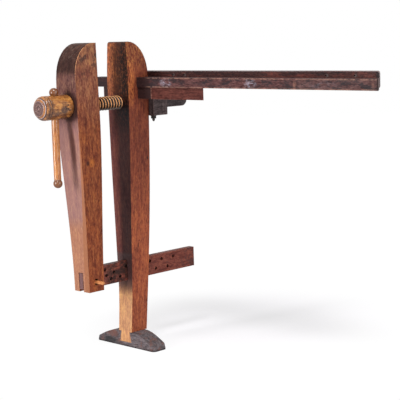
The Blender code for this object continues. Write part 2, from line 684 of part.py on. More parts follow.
# Brackets: stepped blocks behind the leg, one on each side of the screw's path
def make_bracket(name, way):
    deep = BRACKET_FACE + BRACKET_DEPTH
    tip = deep + TONGUE_LENGTH
    step = BRACKET_TOP - TONGUE_DROP
    side = [(BRACKET_FACE, BRACKET_BOTTOM), (deep, BRACKET_BOTTOM), (deep, step)]
    for i in range(CURVE_STEPS + 1):
        angle = pi / 2 * i / CURVE_STEPS
        side.append((tip - TONGUE_ROUND + TONGUE_ROUND * sin(angle), step + TONGUE_ROUND - TONGUE_ROUND * cos(angle)))
    side += [(tip, BRACKET_TOP), (BRACKET_FACE, BRACKET_TOP)]
    low, high = sorted((-way * BRACKET_INNER, -way * BRACKET_OUTER))
    return outline(name, side, SIDE, low, high, DARK_RAIL)


brackets = [make_bracket("bracket_near", -1), make_bracket("bracket_far", 1)]


def spun_mesh(name, axis, profile, places, steps, ring):
    bm = bmesh.new()
    for place in places:
        line = [bm.verts.new((radius, 0.0, station)) for radius, station in profile]
        edges = [bm.edges.new(pair) for pair in zip(line, line[1:])]
        if ring:
            edges.append(bm.edges.new((line[-1], line[0])))
        bmesh.ops.spin(bm, geom=line + edges, cent=(0, 0, 0), axis=(0, 0, 1), angle=2 * pi, steps=steps,
                       use_merge=True)
        new = [vert for vert in bm.verts if not vert.tag]
        bmesh.ops.transform(bm, verts=new, matrix=Matrix.Translation(place) @ AXIS_TURN[axis])
        for vert in new:
            vert.tag = True
    bmesh.ops.remove_doubles(bm, verts=bm.verts, dist=MERGE)
    bmesh.ops.recalc_face_normals(bm, faces=bm.faces)
    mesh = bpy.data.meshes.new(name)
    bm.to_mesh(mesh)
    bm.free()
    return mesh


def lathe_each(name, axis, profile, places, steps=HOLE_STEPS, ring=False):
    """Iron fasteners, one object at each place: a profile of (radius, station) spun about an axis."""
    for label, place in places.items():
        full_name = name + "_" + label
        add(spun_mesh(full_name, axis, profile, [place], steps, ring), full_name, IRON)


def lathe_cutter(name, axis, profile, places):
    return add(spun_mesh(name, axis, profile, places.values(), HOLE_STEPS, False), name)


# Bracket bolts: heads sunk in the back rail, washers and nuts under the brackets
BOLT_SPOTS = {"near": (BOLT_X, -BOLT_Y, 0.0), "far": (BOLT_X, BOLT_Y, 0.0)}


def make_bracket_bolts():
    seat = BACK_RAIL_TOP - BOLT_HEAD_SINK - BOLT_HEAD_HEIGHT
    washer_low = BRACKET_BOTTOM - GAP - WASHER_THICKNESS
    nut_low = washer_low - GAP - NUT_HEIGHT
    tail = nut_low - BOLT_TAIL
    shape = [(0.0, tail), (BOLT_RADIUS / 2, tail), (BOLT_RADIUS, tail + BOLT_RADIUS), (BOLT_RADIUS, seat + GAP),
             (BOLT_HEAD_RADIUS, seat + GAP), (BOLT_HEAD_RADIUS, seat + BOLT_HEAD_HEIGHT),
             (0.0, seat + BOLT_HEAD_HEIGHT)]
    hole = BOLT_RADIUS + GAP
    sink = BOLT_HEAD_RADIUS + GAP
    above = BACK_RAIL_TOP + OVERCUT
    drill = [(0.0, tail), (hole, tail), (hole, seat), (sink, seat), (sink, above), (0.0, above)]
    lathe_each("bracket_bolt", "Z", shape, BOLT_SPOTS)
    holes = lathe_cutter("bracket_bolt_holes", "Z", drill, BOLT_SPOTS)
    for body in brackets + [back_rail]:
        cut(body, holes)
    washer = [(hole, washer_low), (WASHER_RADIUS, washer_low), (WASHER_RADIUS, washer_low + WASHER_THICKNESS),
              (hole, washer_low + WASHER_THICKNESS)]
    lathe_each("bracket_washer", "Z", washer, BOLT_SPOTS, ring=True)
    flat = hole / cos(pi / 6)
    nut = [(flat, nut_low), (NUT_RADIUS, nut_low), (NUT_RADIUS, nut_low + NUT_HEIGHT), (flat, nut_low + NUT_HEIGHT)]
    lathe_each("bracket_nut", "Z", nut, BOLT_SPOTS, steps=6, ring=True)


make_bracket_bolts()


# Leg bolts: through both rails into the leg
def make_leg_bolts():
    tip = FRONT_RAIL_SETBACK - LEG_BOLT_BITE
    seat = BACK_RAIL_BACK + GAP
    shape = [(0.0, tip), (BOLT_RADIUS, tip), (BOLT_RADIUS, seat), (BOLT_HEAD_RADIUS, seat),
             (BOLT_HEAD_RADIUS, seat + BOLT_HEAD_HEIGHT), (0.0, seat + BOLT_HEAD_HEIGHT)]
    hole = BOLT_RADIUS + GAP
    drill = [(0.0, tip - GAP), (hole, tip - GAP), (hole, seat + OVERCUT), (0.0, seat + OVERCUT)]
    middle = RAIL_BOTTOM + FRONT_RAIL_HEIGHT / 2
    places = {"near": (0.0, -LEG_BOLT_SPREAD, middle), "far": (0.0, LEG_BOLT_SPREAD, middle)}
    lathe_each("leg_bolt", "X", shape, places)
    holes = lathe_cutter("leg_bolt_holes", "X", drill, places)
    for body in (leg, front_rail, back_rail):
        cut(body, holes)


make_leg_bolts()


# Countersunk screws: the rails to each other, and the cleats to the front rail
def countersunk(length):
    neck = SCREW_HEAD_RADIUS - SCREW_SHANK_RADIUS
    return [(0.0, 0.0), (SCREW_HEAD_RADIUS, 0.0), (SCREW_SHANK_RADIUS, neck), (SCREW_SHANK_RADIUS, length),
            (0.0, length)]


def countersink(length):
    head = SCREW_HEAD_RADIUS + GAP
    shank = SCREW_SHANK_RADIUS + GAP
    return [(0.0, -OVERCUT), (head, -OVERCUT), (head, 0.0), (shank, head - shank), (shank, length + GAP),
            (0.0, length + GAP)]


def drive(name, axis, length, places, bodies):
    lathe_each(name, axis, countersunk(length), places)
    holes = lathe_cutter(name + "_holes", axis, countersink(length), places)
    for body in bodies:
        cut(body, holes)


def make_rail_screws():
    first = rail_end(BACK_RAIL_BACK) + RAIL_SCREW_INSET
    last = -LEG_SIDE - CLEAT_NEAR_LENGTH
    height = RAIL_BOTTOM + FRONT_RAIL_HEIGHT / 2
    spots = stations(first, last, RAIL_SCREWS - 1)
    length = BACK_RAIL_BACK - FRONT_RAIL_BACK + RAIL_SCREW_BITE
    places = {str(i + 1): (BACK_RAIL_BACK, y, height) for i, y in enumerate(spots)}
    drive("rail_screw", "-X", length, places, (back_rail, front_rail))


def make_cleat_screws():
    middle = (CLEAT_FACE + CLEAT_BACK) / 2
    near = stations(LEG_SIDE + CLEAT_SCREW_INSET, LEG_SIDE + CLEAT_NEAR_LENGTH - 2 * CLEAT_SCREW_INSET,
                    NEAR_CLEAT_SCREWS - 1)
    spots = [-y for y in near] + [LEG_SIDE + CLEAT_FAR_LENGTH / 2]
    length = CLEAT_HEIGHT + CLEAT_SCREW_BITE
    places = {str(i + 1): (middle, y, CLEAT_BOTTOM) for i, y in enumerate(spots)}
    drive("cleat_screw", "Z", length, places, (cleat_near, cleat_far, front_rail))


make_rail_screws()
make_cleat_screws()


# Joint axes: each moving group hangs on an empty that stands on its axis
def axis_mark(name, place, carrier=None):
    mark = bpy.data.objects.new(name, None)
    PARTS.objects.link(mark)
    mark.empty_display_size = SCREW_RADIUS
    mark.location = place
    bpy.context.view_layer.update()
    if carrier:
        carry(carrier, [mark])
    return mark


def carry(mark, pieces):
    bpy.context.view_layer.update()
    for piece in pieces:
        piece.parent = mark
        piece.matrix_parent_inverse = mark.matrix_world.inverted()


chop_axis = axis_mark("chop_slide_axis", (CHOP_INNER, 0.0, SCREW_HEIGHT))
screw_axis = axis_mark("screw_turn_axis", (HEAD_INNER, 0.0, SCREW_HEIGHT), chop_axis)
handle_axis = axis_mark("handle_slide_axis", (HANDLE_X, 0.0, SCREW_HEIGHT), screw_axis)
peg_axis = axis_mark("peg_pull_axis", (PEG_X, 0.0, PEG_Z), chop_axis)
carry(chop_axis, [chop, guide, garter])
carry(screw_axis, [screw])
carry(handle_axis, [handle_bar, *handle_balls])
carry(peg_axis, [peg])
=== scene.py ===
"""An old wooden leg vise with its bench rails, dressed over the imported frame. Metres, +Z up."""
from math import cos, pi, radians, sin, sqrt
from types import SimpleNamespace

import bmesh
import bpy
from mathutils import Matrix, Vector, noise


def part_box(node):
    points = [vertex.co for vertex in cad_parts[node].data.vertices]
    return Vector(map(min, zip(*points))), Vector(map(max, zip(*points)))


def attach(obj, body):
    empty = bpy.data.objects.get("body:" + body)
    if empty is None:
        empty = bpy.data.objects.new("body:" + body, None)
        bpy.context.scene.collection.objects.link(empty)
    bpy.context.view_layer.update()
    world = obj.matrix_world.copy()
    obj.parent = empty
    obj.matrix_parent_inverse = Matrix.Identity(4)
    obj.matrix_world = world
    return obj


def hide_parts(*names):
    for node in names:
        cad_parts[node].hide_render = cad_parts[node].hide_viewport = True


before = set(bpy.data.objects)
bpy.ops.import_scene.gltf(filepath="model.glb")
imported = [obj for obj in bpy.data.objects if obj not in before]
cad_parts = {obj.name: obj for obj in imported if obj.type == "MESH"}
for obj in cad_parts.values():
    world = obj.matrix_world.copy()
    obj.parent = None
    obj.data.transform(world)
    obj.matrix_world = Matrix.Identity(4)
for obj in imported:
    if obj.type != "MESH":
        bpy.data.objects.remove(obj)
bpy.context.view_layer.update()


# Foot
# A short cross block, black and darker still towards the floor, its ends sawn to a slope and every edge
# kicked round.
# The leg's tongue slides through the dovetail socket in its middle.
def solid_copy(node):
    """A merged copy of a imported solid, with its flat faces whole again."""
    bm = bmesh.new()
    bm.from_mesh(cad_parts[node].data)
    bmesh.ops.remove_doubles(bm, verts=bm.verts, dist=0.00001)
    bmesh.ops.dissolve_limit(bm, angle_limit=radians(0.05), verts=bm.verts, edges=bm.edges)
    bm.loops.layers.float.new("wear")
    return bm


def arrises(bm, sharp_from=25.0):
    """The outward edges that turn by more than an angle in degrees."""
    least = radians(sharp_from)
    return [e for e in bm.edges if e.is_manifold and e.is_convex and e.calc_face_angle() > least]


def round_over(bm, edges, width, segments):
    """Rounds edges by at most a width: narrow faces beside any of them hold all of them back."""
    return bmesh.ops.bevel(bm, geom=edges, offset=width, offset_type="OFFSET", affect="EDGES",
                           segments=segments, profile=0.5, clamp_overlap=True, material=-1)


WEAR_STEP = 0.014
HOLLOW_SCALE = 48.0
RIPPLE_SCALE = 170.0
RIPPLE_SHARE = 0.6
NICK_SCALE = 260.0
NICK_SHIFT = Vector((5.0, 2.0, 9.0))
NICK_FROM = 0.32
NICK_DEPTH = 2.2
CREST_WEAR = 1.0
FLANK_WEAR = 0.6


def rubbed(bm, edge_round, rub, sharp_from=25.0):
    """Rounds every arris as far as there is room, wears it down unevenly and marks it as worn."""
    for edge in [e for e in arrises(bm, sharp_from) if e.calc_length() > 2 * WEAR_STEP]:
        bmesh.ops.subdivide_edges(bm, edges=[edge], cuts=int(edge.calc_length() / WEAR_STEP))
    made = round_over(bm, arrises(bm, sharp_from), edge_round, 3)
    strip = set(made["faces"])
    crest = {v for v in made["verts"] if all(face in strip for face in v.link_faces)}
    bm.normal_update()
    for vert in crest:
        hollow = noise.noise(vert.co * HOLLOW_SCALE) + RIPPLE_SHARE * noise.noise(vert.co * RIPPLE_SCALE)
        nick = max(0.0, noise.noise(vert.co * NICK_SCALE + NICK_SHIFT) - NICK_FROM)
        vert.co -= vert.normal * rub * (max(0.0, hollow) + NICK_DEPTH * nick)
    for face in bm.faces:
        face.smooth = True
    for edge in bm.edges:
        edge.smooth = len({face in strip for face in edge.link_faces}) == 1
    wear = bm.loops.layers.float["wear"]
    for face in strip:
        for loop in face.loops:
            loop[wear] = CREST_WEAR if loop.vert in crest else FLANK_WEAR
    return bm


def place(bm, name, material, body, node, smooth_to=32.0):
    """Turns a finished bmesh into a piece that stands for its CAD node and moves with that node's body."""
    low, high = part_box(node)
    for vert in bm.verts:
        for axis in range(3):
            vert.co[axis] = min(max(vert.co[axis], low[axis]), high[axis])
    for edge in bm.edges:
        if edge.is_manifold and edge.calc_face_angle() > radians(smooth_to):
            edge.smooth = False
    mesh = bpy.data.meshes.new(name)
    bm.to_mesh(mesh)
    bm.free()
    mesh.materials.append(material)
    piece = bpy.data.objects.new(name, mesh)
    bpy.context.scene.collection.objects.link(piece)
    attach(piece, body)
    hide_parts(node)
    return piece


def home(*values):
    """The node tree of the first socket among the values."""
    return next(value.id_data for value in values if isinstance(value, bpy.types.NodeSocket))


def feed(socket, value):
    if isinstance(value, bpy.types.NodeSocket):
        socket.id_data.links.new(value, socket)
    elif isinstance(value, tuple) and len(value) == 3 and socket.type == "RGBA":
        socket.default_value = (*value, 1.0)
    else:
        socket.default_value = value


def reckon(operation, first, second=0.0):
    node = home(first, second).nodes.new("ShaderNodeMath")
    node.operation = operation
    feed(node.inputs[0], first)
    feed(node.inputs[1], second)
    return node.outputs[0]


def both(*shares):
    result = shares[0]
    for share in shares[1:]:
        result = reckon("MULTIPLY", result, share)
    return result


def spread(value, low, high, at_low, at_high, bend="LINEAR"):
    """Maps low..high onto at_low..at_high and holds the ends."""
    node = home(value).nodes.new("ShaderNodeMapRange")
    node.interpolation_type = bend
    feed(node.inputs["Value"], value)
    feed(node.inputs["From Min"], low)
    feed(node.inputs["From Max"], high)
    feed(node.inputs["To Min"], at_low)
    feed(node.inputs["To Max"], at_high)
    return node.outputs["Result"]


def rise(value, start, end):
    """Goes smoothly from 0 at start to 1 at end, whichever of them is larger."""
    if start < end:
        return spread(value, start, end, 0.0, 1.0, "SMOOTHSTEP")
    return spread(value, end, start, 1.0, 0.0, "SMOOTHSTEP")


def band(value, low, high, soft):
    return both(rise(value, low - soft, low), rise(value, high + soft, high))


def tint(share, under, over, way="MIX"):
    node = home(share, under, over).nodes.new("ShaderNodeMix")
    node.data_type = "RGBA"
    node.blend_type = way
    feed(node.inputs[0], share)
    feed(node.inputs[6], under)
    feed(node.inputs[7], over)
    return node.outputs[2]


def cloud(vector, scale, detail=4.0, rough=0.6, twist=0.0):
    node = home(vector).nodes.new("ShaderNodeTexNoise")
    feed(node.inputs["Vector"], vector)
    feed(node.inputs["Scale"], scale)
    feed(node.inputs["Detail"], detail)
    feed(node.inputs["Roughness"], rough)
    feed(node.inputs["Distortion"], twist)
    return node.outputs["Fac"]


def drawn_out(coords, grain, shift, ratio):
    """Object coordinates drawn out along the grain, so that a cloud turns into streaks."""
    node = home(coords).nodes.new("ShaderNodeMapping")
    feed(node.inputs["Vector"], coords)
    node.inputs["Location"].default_value = (shift, shift * 0.7, shift * 0.4)
    node.inputs["Scale"].default_value = tuple(ratio if axis == grain else 1.0 for axis in "XYZ")
    return node.outputs["Vector"]


def timber(name, grain, dark, middle, pale, shift):
    """Old wood: growth streaks, flecks, fine lines and open pores along the grain, and soft patches."""
    material = bpy.data.materials.new(name)
    material.use_nodes = True
    nodes = material.node_tree.nodes
    links = material.node_tree.links
    source = nodes.new("ShaderNodeTexCoord")
    spot = nodes.new("ShaderNodeSeparateXYZ")
    facing = nodes.new("ShaderNodeSeparateXYZ")
    links.new(source.outputs["Object"], spot.inputs[0])
    links.new(source.outputs["Normal"], facing.inputs[0])
    coords = source.outputs["Object"]
    streaks = cloud(drawn_out(coords, grain, shift, 0.16), 150.0, 5.0, 0.62, 0.5)
    flecks = cloud(drawn_out(coords, grain, shift + 2.0, 0.42), 270.0, 4.0, 0.62, 0.3)
    lines = cloud(drawn_out(coords, grain, shift + 3.0, 0.05), 420.0, 3.0, 0.65)
    pores = rise(cloud(drawn_out(coords, grain, shift + 7.0, 0.13), 520.0, 2.0, 0.5), 0.57, 0.66)
    patches = cloud(drawn_out(coords, grain, shift + 5.0, 0.40), 58.0, 4.0, 0.62, 0.5)
    broad = cloud(drawn_out(coords, grain, shift + 11.0, 0.35), 17.0, 4.0, 0.6, 0.8)
    figure = reckon("ADD", both(streaks, 0.40), both(flecks, 0.40))
    figure = reckon("ADD", figure, both(lines, 0.20))
    colour = tint(rise(figure, 0.40, 0.51), dark, middle)
    colour = tint(rise(figure, 0.49, 0.61), colour, pale)
    colour = tint(both(pores, 0.50), colour, tuple(part * 0.30 for part in dark))
    height = reckon("SUBTRACT", lines, both(pores, 0.9))
    return SimpleNamespace(material=material, coords=coords, colour=colour, height=height, figure=figure,
                           flecks=flecks, patches=patches, broad=broad,
                           x=spot.outputs[0], y=spot.outputs[1], z=spot.outputs[2],
                           nx=facing.outputs[0], ny=facing.outputs[1], nz=facing.outputs[2])


def wash(wood, strength, *shares):
    """Tints the wood by a strength per channel, so that its grain still shows."""
    wood.colour = tint(both(*shares), wood.colour, strength, "MULTIPLY")


def daub(wood, colour, *shares):
    """Covers the wood with a colour where the shares say."""
    wood.colour = tint(both(*shares), wood.colour, colour)


def rub_edges(wood, colour, strength):
    """Bare wood where the arrises are worn, broken up as handling breaks it."""
    attribute = home(wood.coords).nodes.new("ShaderNodeAttribute")
    attribute.attribute_name = "wear"
    broken = rise(cloud(wood.coords, 95.0, 4.0, 0.7), 0.36, 0.56)
    daub(wood, colour, attribute.outputs["Fac"], broken, strength)


def oiled(wood, smooth, dull, gloss=0.12, relief=0.0006):
    """Closes a wood: its colour, a sheen that varies over it, and relief from its lines and pores."""
    nodes = wood.material.node_tree.nodes
    shader = nodes["Principled BSDF"]
    feed(shader.inputs["Base Color"], wood.colour)
    feed(shader.inputs["Roughness"], spread(wood.broad, 0.35, 0.65, smooth, dull))
    shader.inputs["Specular IOR Level"].default_value = gloss
    bump = nodes.new("ShaderNodeBump")
    bump.inputs["Strength"].default_value = 0.6
    bump.inputs["Distance"].default_value = relief
    feed(bump.inputs["Height"], wood.height)
    feed(shader.inputs["Normal"], bump.outputs["Normal"])
    return wood.material


def blob(wood, centre, radii, edge=0.5):
    """A soft-edged oval mark: 1 inside, falling to 0 at its radii."""
    nodes = wood.material.node_tree.nodes
    node = nodes.new("ShaderNodeMapping")
    feed(node.inputs["Vector"], wood.coords)
    node.inputs["Scale"].default_value = tuple(1.0 / radius for radius in radii)
    node.inputs["Location"].default_value = tuple(-c / radius for c, radius in zip(centre, radii))
    length = nodes.new("ShaderNodeVectorMath")
    length.operation = "LENGTH"
    feed(length.inputs[0], node.outputs["Vector"])
    return rise(length.outputs["Value"], 1.0, edge)


def slice_across(bm, heights):
    """Adds level seams to a mesh, so that it can be bent there."""
    for height in heights:
        bmesh.ops.bisect_plane(bm, geom=bm.verts[:] + bm.edges[:] + bm.faces[:], plane_co=(0, 0, height),
                               plane_no=(0, 0, 1))


foot_low, foot_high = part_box("foot")
FOOT_BACK_ROUND = 0.0080
FOOT_TOE = 0.013
FOOT_TOE_DRAW = 0.0052
FOOT_TOE_CURVE = 1.6
FOOT_SOLE = 0.0040
FOOT_TOE_SEAM = 0.0085
FOOT_TIP = 0.012
FOOT_BACK_FROM = FOOT_TIP + 0.004
FOOT_EDGE = 0.0036
FOOT_RUB = 0.0013
TOUCH = 0.0005
foot_bm = solid_copy("foot")
slice_across(foot_bm, (FOOT_SOLE, FOOT_TOE_SEAM))
for vert in foot_bm.verts:
    from_tip = min(vert.co.y - foot_low.y, foot_high.y - vert.co.y)
    if from_tip < FOOT_TOE:
        climb = max(0.0, (vert.co.z - FOOT_SOLE) / (FOOT_TIP - FOOT_SOLE))
        inward = 1.0 if vert.co.y < 0 else -1.0
        eased = FOOT_TOE_DRAW * min(climb, 1.0) ** FOOT_TOE_CURVE
        vert.co.y += inward * eased * (1.0 - from_tip / FOOT_TOE)
foot_back = [e for e in arrises(foot_bm) if min(v.co.x for v in e.verts) > foot_high.x - TOUCH
             and min(v.co.z for v in e.verts) > FOOT_BACK_FROM]
round_over(foot_bm, foot_back, FOOT_BACK_ROUND, 3)
foot_bm = rubbed(foot_bm, FOOT_EDGE, FOOT_RUB)

foot_wood = timber("foot_wood", "Y",
                   (0.059, 0.047, 0.051), (0.134, 0.110, 0.116), (0.218, 0.183, 0.189), 1.0)
daub(foot_wood, (0.045, 0.038, 0.040), rise(cloud(foot_wood.coords, 42.0, 5.0, 0.65), 0.50, 0.60), 0.5)
daub(foot_wood, (0.19, 0.085, 0.065), rise(cloud(foot_wood.coords, 66.0, 5.0, 0.65), 0.50, 0.62), 0.6)
daub(foot_wood, (0.34, 0.27, 0.25), rise(cloud(foot_wood.coords, 230.0, 3.0, 0.6), 0.62, 0.70), 0.6)
red_spot = blob(foot_wood, (foot_low.x, 0.055, 0.032), (0.02, 0.030, 0.014))
daub(foot_wood, (0.20, 0.085, 0.065), red_spot, 0.6)
black_spot = blob(foot_wood, (foot_low.x, 0.064, 0.010), (0.02, 0.034, 0.012))
daub(foot_wood, (0.035, 0.035, 0.037), black_spot, 0.85)
# The bottom 8 mm are painted darker towards the floor.
daub(foot_wood, (0.022, 0.018, 0.018), rise(foot_wood.z, 0.008, 0.001), 0.7)
rub_edges(foot_wood, (0.34, 0.140, 0.095), 0.95)
place(foot_bm, "foot_block", oiled(foot_wood, 0.48, 0.72), "frame", "foot")


# Leg
# The fixed jaw: one tall post of red-brown wood, its back top rounded and a dovetail tongue on its foot.
# Its jaw face is golden and dirty at the grip, with painted light and shade: the chop's shadow painted dark
# on its near side down to the guide, and painted light tan near the floor.
leg_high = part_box("leg")[1]
SHOULDER_DROP = 0.026
SHOULDER_DRAW = 0.04
JAW_TOP_REACH = 0.003
JAW_TOP_ROUND = 0.0060
LEG_EDGE = 0.0022
LEG_RUB = 0.0010
CRACKS = ((0.0258, 0.2910, 0.0018, 0.0125), (0.0290, 0.3040, 0.0042, 0.0018))
leg_bm = solid_copy("leg")
slice_across(leg_bm, (leg_high.z - SHOULDER_DROP, leg_high.z - SHOULDER_DROP / 2))
for vert in leg_bm.verts:
    climb = max(0.0, (vert.co.z - leg_high.z + SHOULDER_DROP) / SHOULDER_DROP)
    vert.co.y *= 1.0 - SHOULDER_DRAW * climb * climb
jaw_top = [e for e in arrises(leg_bm) if min(v.co.z for v in e.verts) > leg_high.z - TOUCH
           and max(v.co.x for v in e.verts) < JAW_TOP_REACH]
round_over(leg_bm, jaw_top, JAW_TOP_ROUND, 4)
leg_bm = rubbed(leg_bm, LEG_EDGE, LEG_RUB)

leg_wood = timber("leg_wood", "Z",
                  (0.115, 0.024, 0.015), (0.200, 0.048, 0.026), (0.290, 0.082, 0.035), 2.0)
jaw_side = rise(leg_wood.nx, -0.5, -0.8)
near_side = rise(leg_wood.ny, -0.5, -0.8)
# Painted light: the near face is painted lighter towards the bottom, as the light thrown up from the white
# floor.
wash(leg_wood, (1.60, 1.65, 1.40), near_side, rise(leg_wood.z, 0.60, 0.28))
wash(leg_wood, (0.78, 0.80, 0.90), rise(leg_wood.broad, 0.48, 0.60), 0.7)
wash(leg_wood, (1.18, 1.22, 1.05), rise(leg_wood.patches, 0.50, 0.62), 0.45)
leg_streak = both(near_side, rise(leg_wood.x, 0.028, 0.012), band(leg_wood.z, 0.715, 0.790, 0.05))
wash(leg_wood, (2.1, 2.5, 1.7), leg_streak, rise(leg_wood.figure, 0.42, 0.54))
wash(leg_wood, (1.5, 2.1, 1.5), near_side, rise(leg_wood.z, 0.775, 0.835),
     rise(leg_wood.flecks, 0.42, 0.58))
grip = both(jaw_side, rise(leg_wood.z, 0.66, 0.75))
wash(leg_wood, (1.20, 1.45, 1.20), grip)
# Gold flecks at the grip, laid on the far strip that the chop leaves lit: grip wear with painted light.
grip_gold_and_light = rise(reckon("ADD", leg_wood.y, both(leg_wood.patches, 0.03)), 0.010, 0.040)
wash(leg_wood, (1.9, 1.9, 1.7), grip, grip_gold_and_light, rise(leg_wood.flecks, 0.40, 0.58))
# Dark streaky grime below the screw, darkest on the near side: grease with the chop's painted shade.
grip_grime_and_shade = rise(cloud(drawn_out(leg_wood.coords, "Z", 2.5, 0.70), 150.0, 6.0, 0.75), 0.36, 0.54)
daub(leg_wood, (0.018, 0.009, 0.007), jaw_side, rise(leg_wood.z, 0.58, 0.66), grip_grime_and_shade,
     spread(leg_wood.y, -0.020, 0.040, 1.0, 0.15))
wash(leg_wood, (0.72, 0.85, 1.30), jaw_side, band(leg_wood.z, 0.24, 0.66, 0.06))
# Painted shade: the chop's shadow, painted dark over the near side of the jaw face between screw and guide.
wash(leg_wood, (0.42, 0.50, 0.56), jaw_side, band(leg_wood.z, 0.27, 0.68, 0.05),
     rise(leg_wood.y, 0.018, -0.004))
# Painted light: the jaw face near the floor is painted much lighter and tan, where the light falls on it
# below the chop's shadow.
jaw_low = both(jaw_side, rise(leg_wood.z, 0.200, 0.140))
wash(leg_wood, (3.0, 6.0, 5.0), jaw_low)
daub(leg_wood, (0.58, 0.29, 0.155), jaw_low, 0.40)
# Painted shadow: a dark band over the guide's height, fading out below the chop's foot, as the chop's
# shadow.
daub(leg_wood, (0.075, 0.045, 0.045), jaw_side, rise(leg_wood.z, 0.142, 0.185),
     rise(leg_wood.z, 0.274, 0.262), 0.75)
daub(leg_wood, (0.060, 0.032, 0.026), rise(leg_wood.nz, 0.35, 0.75), rise(leg_wood.z, 0.70, 0.78), 0.75)
daub(leg_wood, (0.035, 0.014, 0.012), blob(leg_wood, (0.0655, -0.043, 0.5345), (0.0035, 0.012, 0.0065)))
for crack_x, crack_z, crack_width, crack_height in CRACKS:
    crack = blob(leg_wood, (crack_x, -0.0345, crack_z), (crack_width, 0.012, crack_height), 0.4)
    daub(leg_wood, (0.030, 0.010, 0.008), crack, 0.9)
rub_edges(leg_wood, (0.46, 0.19, 0.070), 0.85)
place(leg_bm, "leg_post", oiled(leg_wood, 0.42, 0.60), "frame", "leg")


# Rails
# Two long bench rails, side by side behind the jaw: the front one is let through the leg's back,
# the taller one runs behind it. Dark, dirty wood with pale rubbed arrises and old nail holes.
def rail_end(bm, reach):
    """The arrises round the end that points away from the leg."""
    tip = min(v.co.y for v in bm.verts)
    return [e for e in arrises(bm) if max(v.co.y for v in e.verts) < tip + reach]


def cut_away(bm, tool):
    """What is left of a closed mesh when another is taken out of it."""
    helpers = []
    for label, shape in (("blank", bm), ("tool", tool)):
        mesh = bpy.data.meshes.new(label)
        shape.to_mesh(mesh)
        shape.free()
        helper = bpy.data.objects.new(label, mesh)
        bpy.context.scene.collection.objects.link(helper)
        helpers.append(helper)
    cut = helpers[0].modifiers.new("cut", "BOOLEAN")
    cut.operation = "DIFFERENCE"
    cut.solver = "EXACT"
    cut.object = helpers[1]
    bpy.context.view_layer.update()
    evaluated = helpers[0].evaluated_get(bpy.context.evaluated_depsgraph_get())
    result = bpy.data.meshes.new_from_object(evaluated)
    for helper in helpers:
        bpy.data.objects.remove(helper, do_unlink=True)
    left = bmesh.new()
    left.from_mesh(result)
    return left


front_low, front_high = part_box("front_rail")
front_face = front_low.x
front_middle = (front_low.z + front_high.z) / 2
RAIL_TIP = front_low.y + 0.006
FRONT_END_REACH = 0.012
FRONT_END_ROUND = 0.0040
FRONT_EDGE = 0.0022
FRONT_RUB = 0.0011
SMEARS = ((-0.158, 0.030, 0.95), (-0.462, 0.030, 0.85), (-0.700, 0.060, 0.14))
CHIPS = ((-0.6085, 0.7), (-0.8440, 0.4))
front_wood = timber("front_rail_wood", "Y",
                    (0.050, 0.018, 0.018), (0.098, 0.040, 0.038), (0.150, 0.071, 0.067), 4.0)
soot = rise(cloud(drawn_out(front_wood.coords, "Y", 4.5, 0.4), 70.0, 6.0, 0.7), 0.46, 0.60)
daub(front_wood, (0.024, 0.018, 0.021), soot, 0.85)
grey_run = rise(reckon("ADD", front_wood.y, both(front_wood.flecks, 0.03)), -0.592, -0.606)
wash(front_wood, (1.0, 1.12, 1.10), grey_run)
smear = cloud(drawn_out(front_wood.coords, "Y", 6.0, 0.55), 95.0, 6.0, 0.72, 0.6)
# Pale bluish patches on the front rail: rubbed wear with a painted sheen.
for smear_y, smear_reach, smear_share in SMEARS:
    rubbed_sheen_spot = blob(front_wood, (front_face, smear_y, front_middle), (0.02, smear_reach, 0.016), 0.1)
    daub(front_wood, (0.40, 0.37, 0.44), rubbed_sheen_spot, rise(smear, 0.44, 0.62), smear_share)
for chip_y, chip_share in CHIPS:
    chip = blob(front_wood, (front_face, chip_y, front_middle - 0.003), (0.02, 0.0075, 0.018), 0.1)
    daub(front_wood, (0.36, 0.17, 0.12), chip, rise(smear, 0.40, 0.58), chip_share)
# Painted shadow: the front rail from its start at the leg onwards, painted near black as the chop's shadow.
painted_chop_shadow_on_rail = rise(reckon("ADD", front_wood.y, both(front_wood.flecks, 0.012)), -0.096, -0.078)
daub(front_wood, (0.026, 0.015, 0.016), painted_chop_shadow_on_rail, 0.80)
rub_edges(front_wood, (0.50, 0.26, 0.18), 0.70)
from_middle_line = reckon("ABSOLUTE", reckon("SUBTRACT", front_wood.z, front_middle))
rail_half = (front_high.z - front_low.z) / 2
at_edge = rise(from_middle_line, rail_half - 0.0042, rail_half - 0.0022)
edge_line = both(rise(front_wood.nx, -0.4, -0.7), at_edge)
daub(front_wood, (0.42, 0.23, 0.165), edge_line, rise(smear, 0.40, 0.58),
     rise(front_wood.y, -0.07, -0.10), 0.45)
# The rail's end: darker end grain, deepened with painted shade.
daub(front_wood, (0.030, 0.019, 0.018), rise(front_wood.y, RAIL_TIP, RAIL_TIP - 0.003), 0.9)
front_bm = solid_copy("front_rail")
round_over(front_bm, rail_end(front_bm, FRONT_END_REACH), FRONT_END_ROUND, 4)
front_bm = rubbed(front_bm, FRONT_EDGE, FRONT_RUB)
place(front_bm, "front_rail_bar", oiled(front_wood, 0.45, 0.62, 0.08), "frame",
      "front_rail")

back_wood = timber("back_rail_wood", "Y",
                   (0.019, 0.008, 0.008), (0.042, 0.015, 0.014), (0.079, 0.028, 0.023), 5.0)
redder = rise(cloud(drawn_out(back_wood.coords, "Y", 8.0, 0.12), 34.0, 4.0, 0.6), 0.48, 0.60)
wash(back_wood, (2.2, 1.7, 1.5), redder)
# The back rail's arrises are painted dark blue: a painted reflection along its top edge, not pale wear.
rub_edges(back_wood, (0.022, 0.020, 0.034), 0.9)
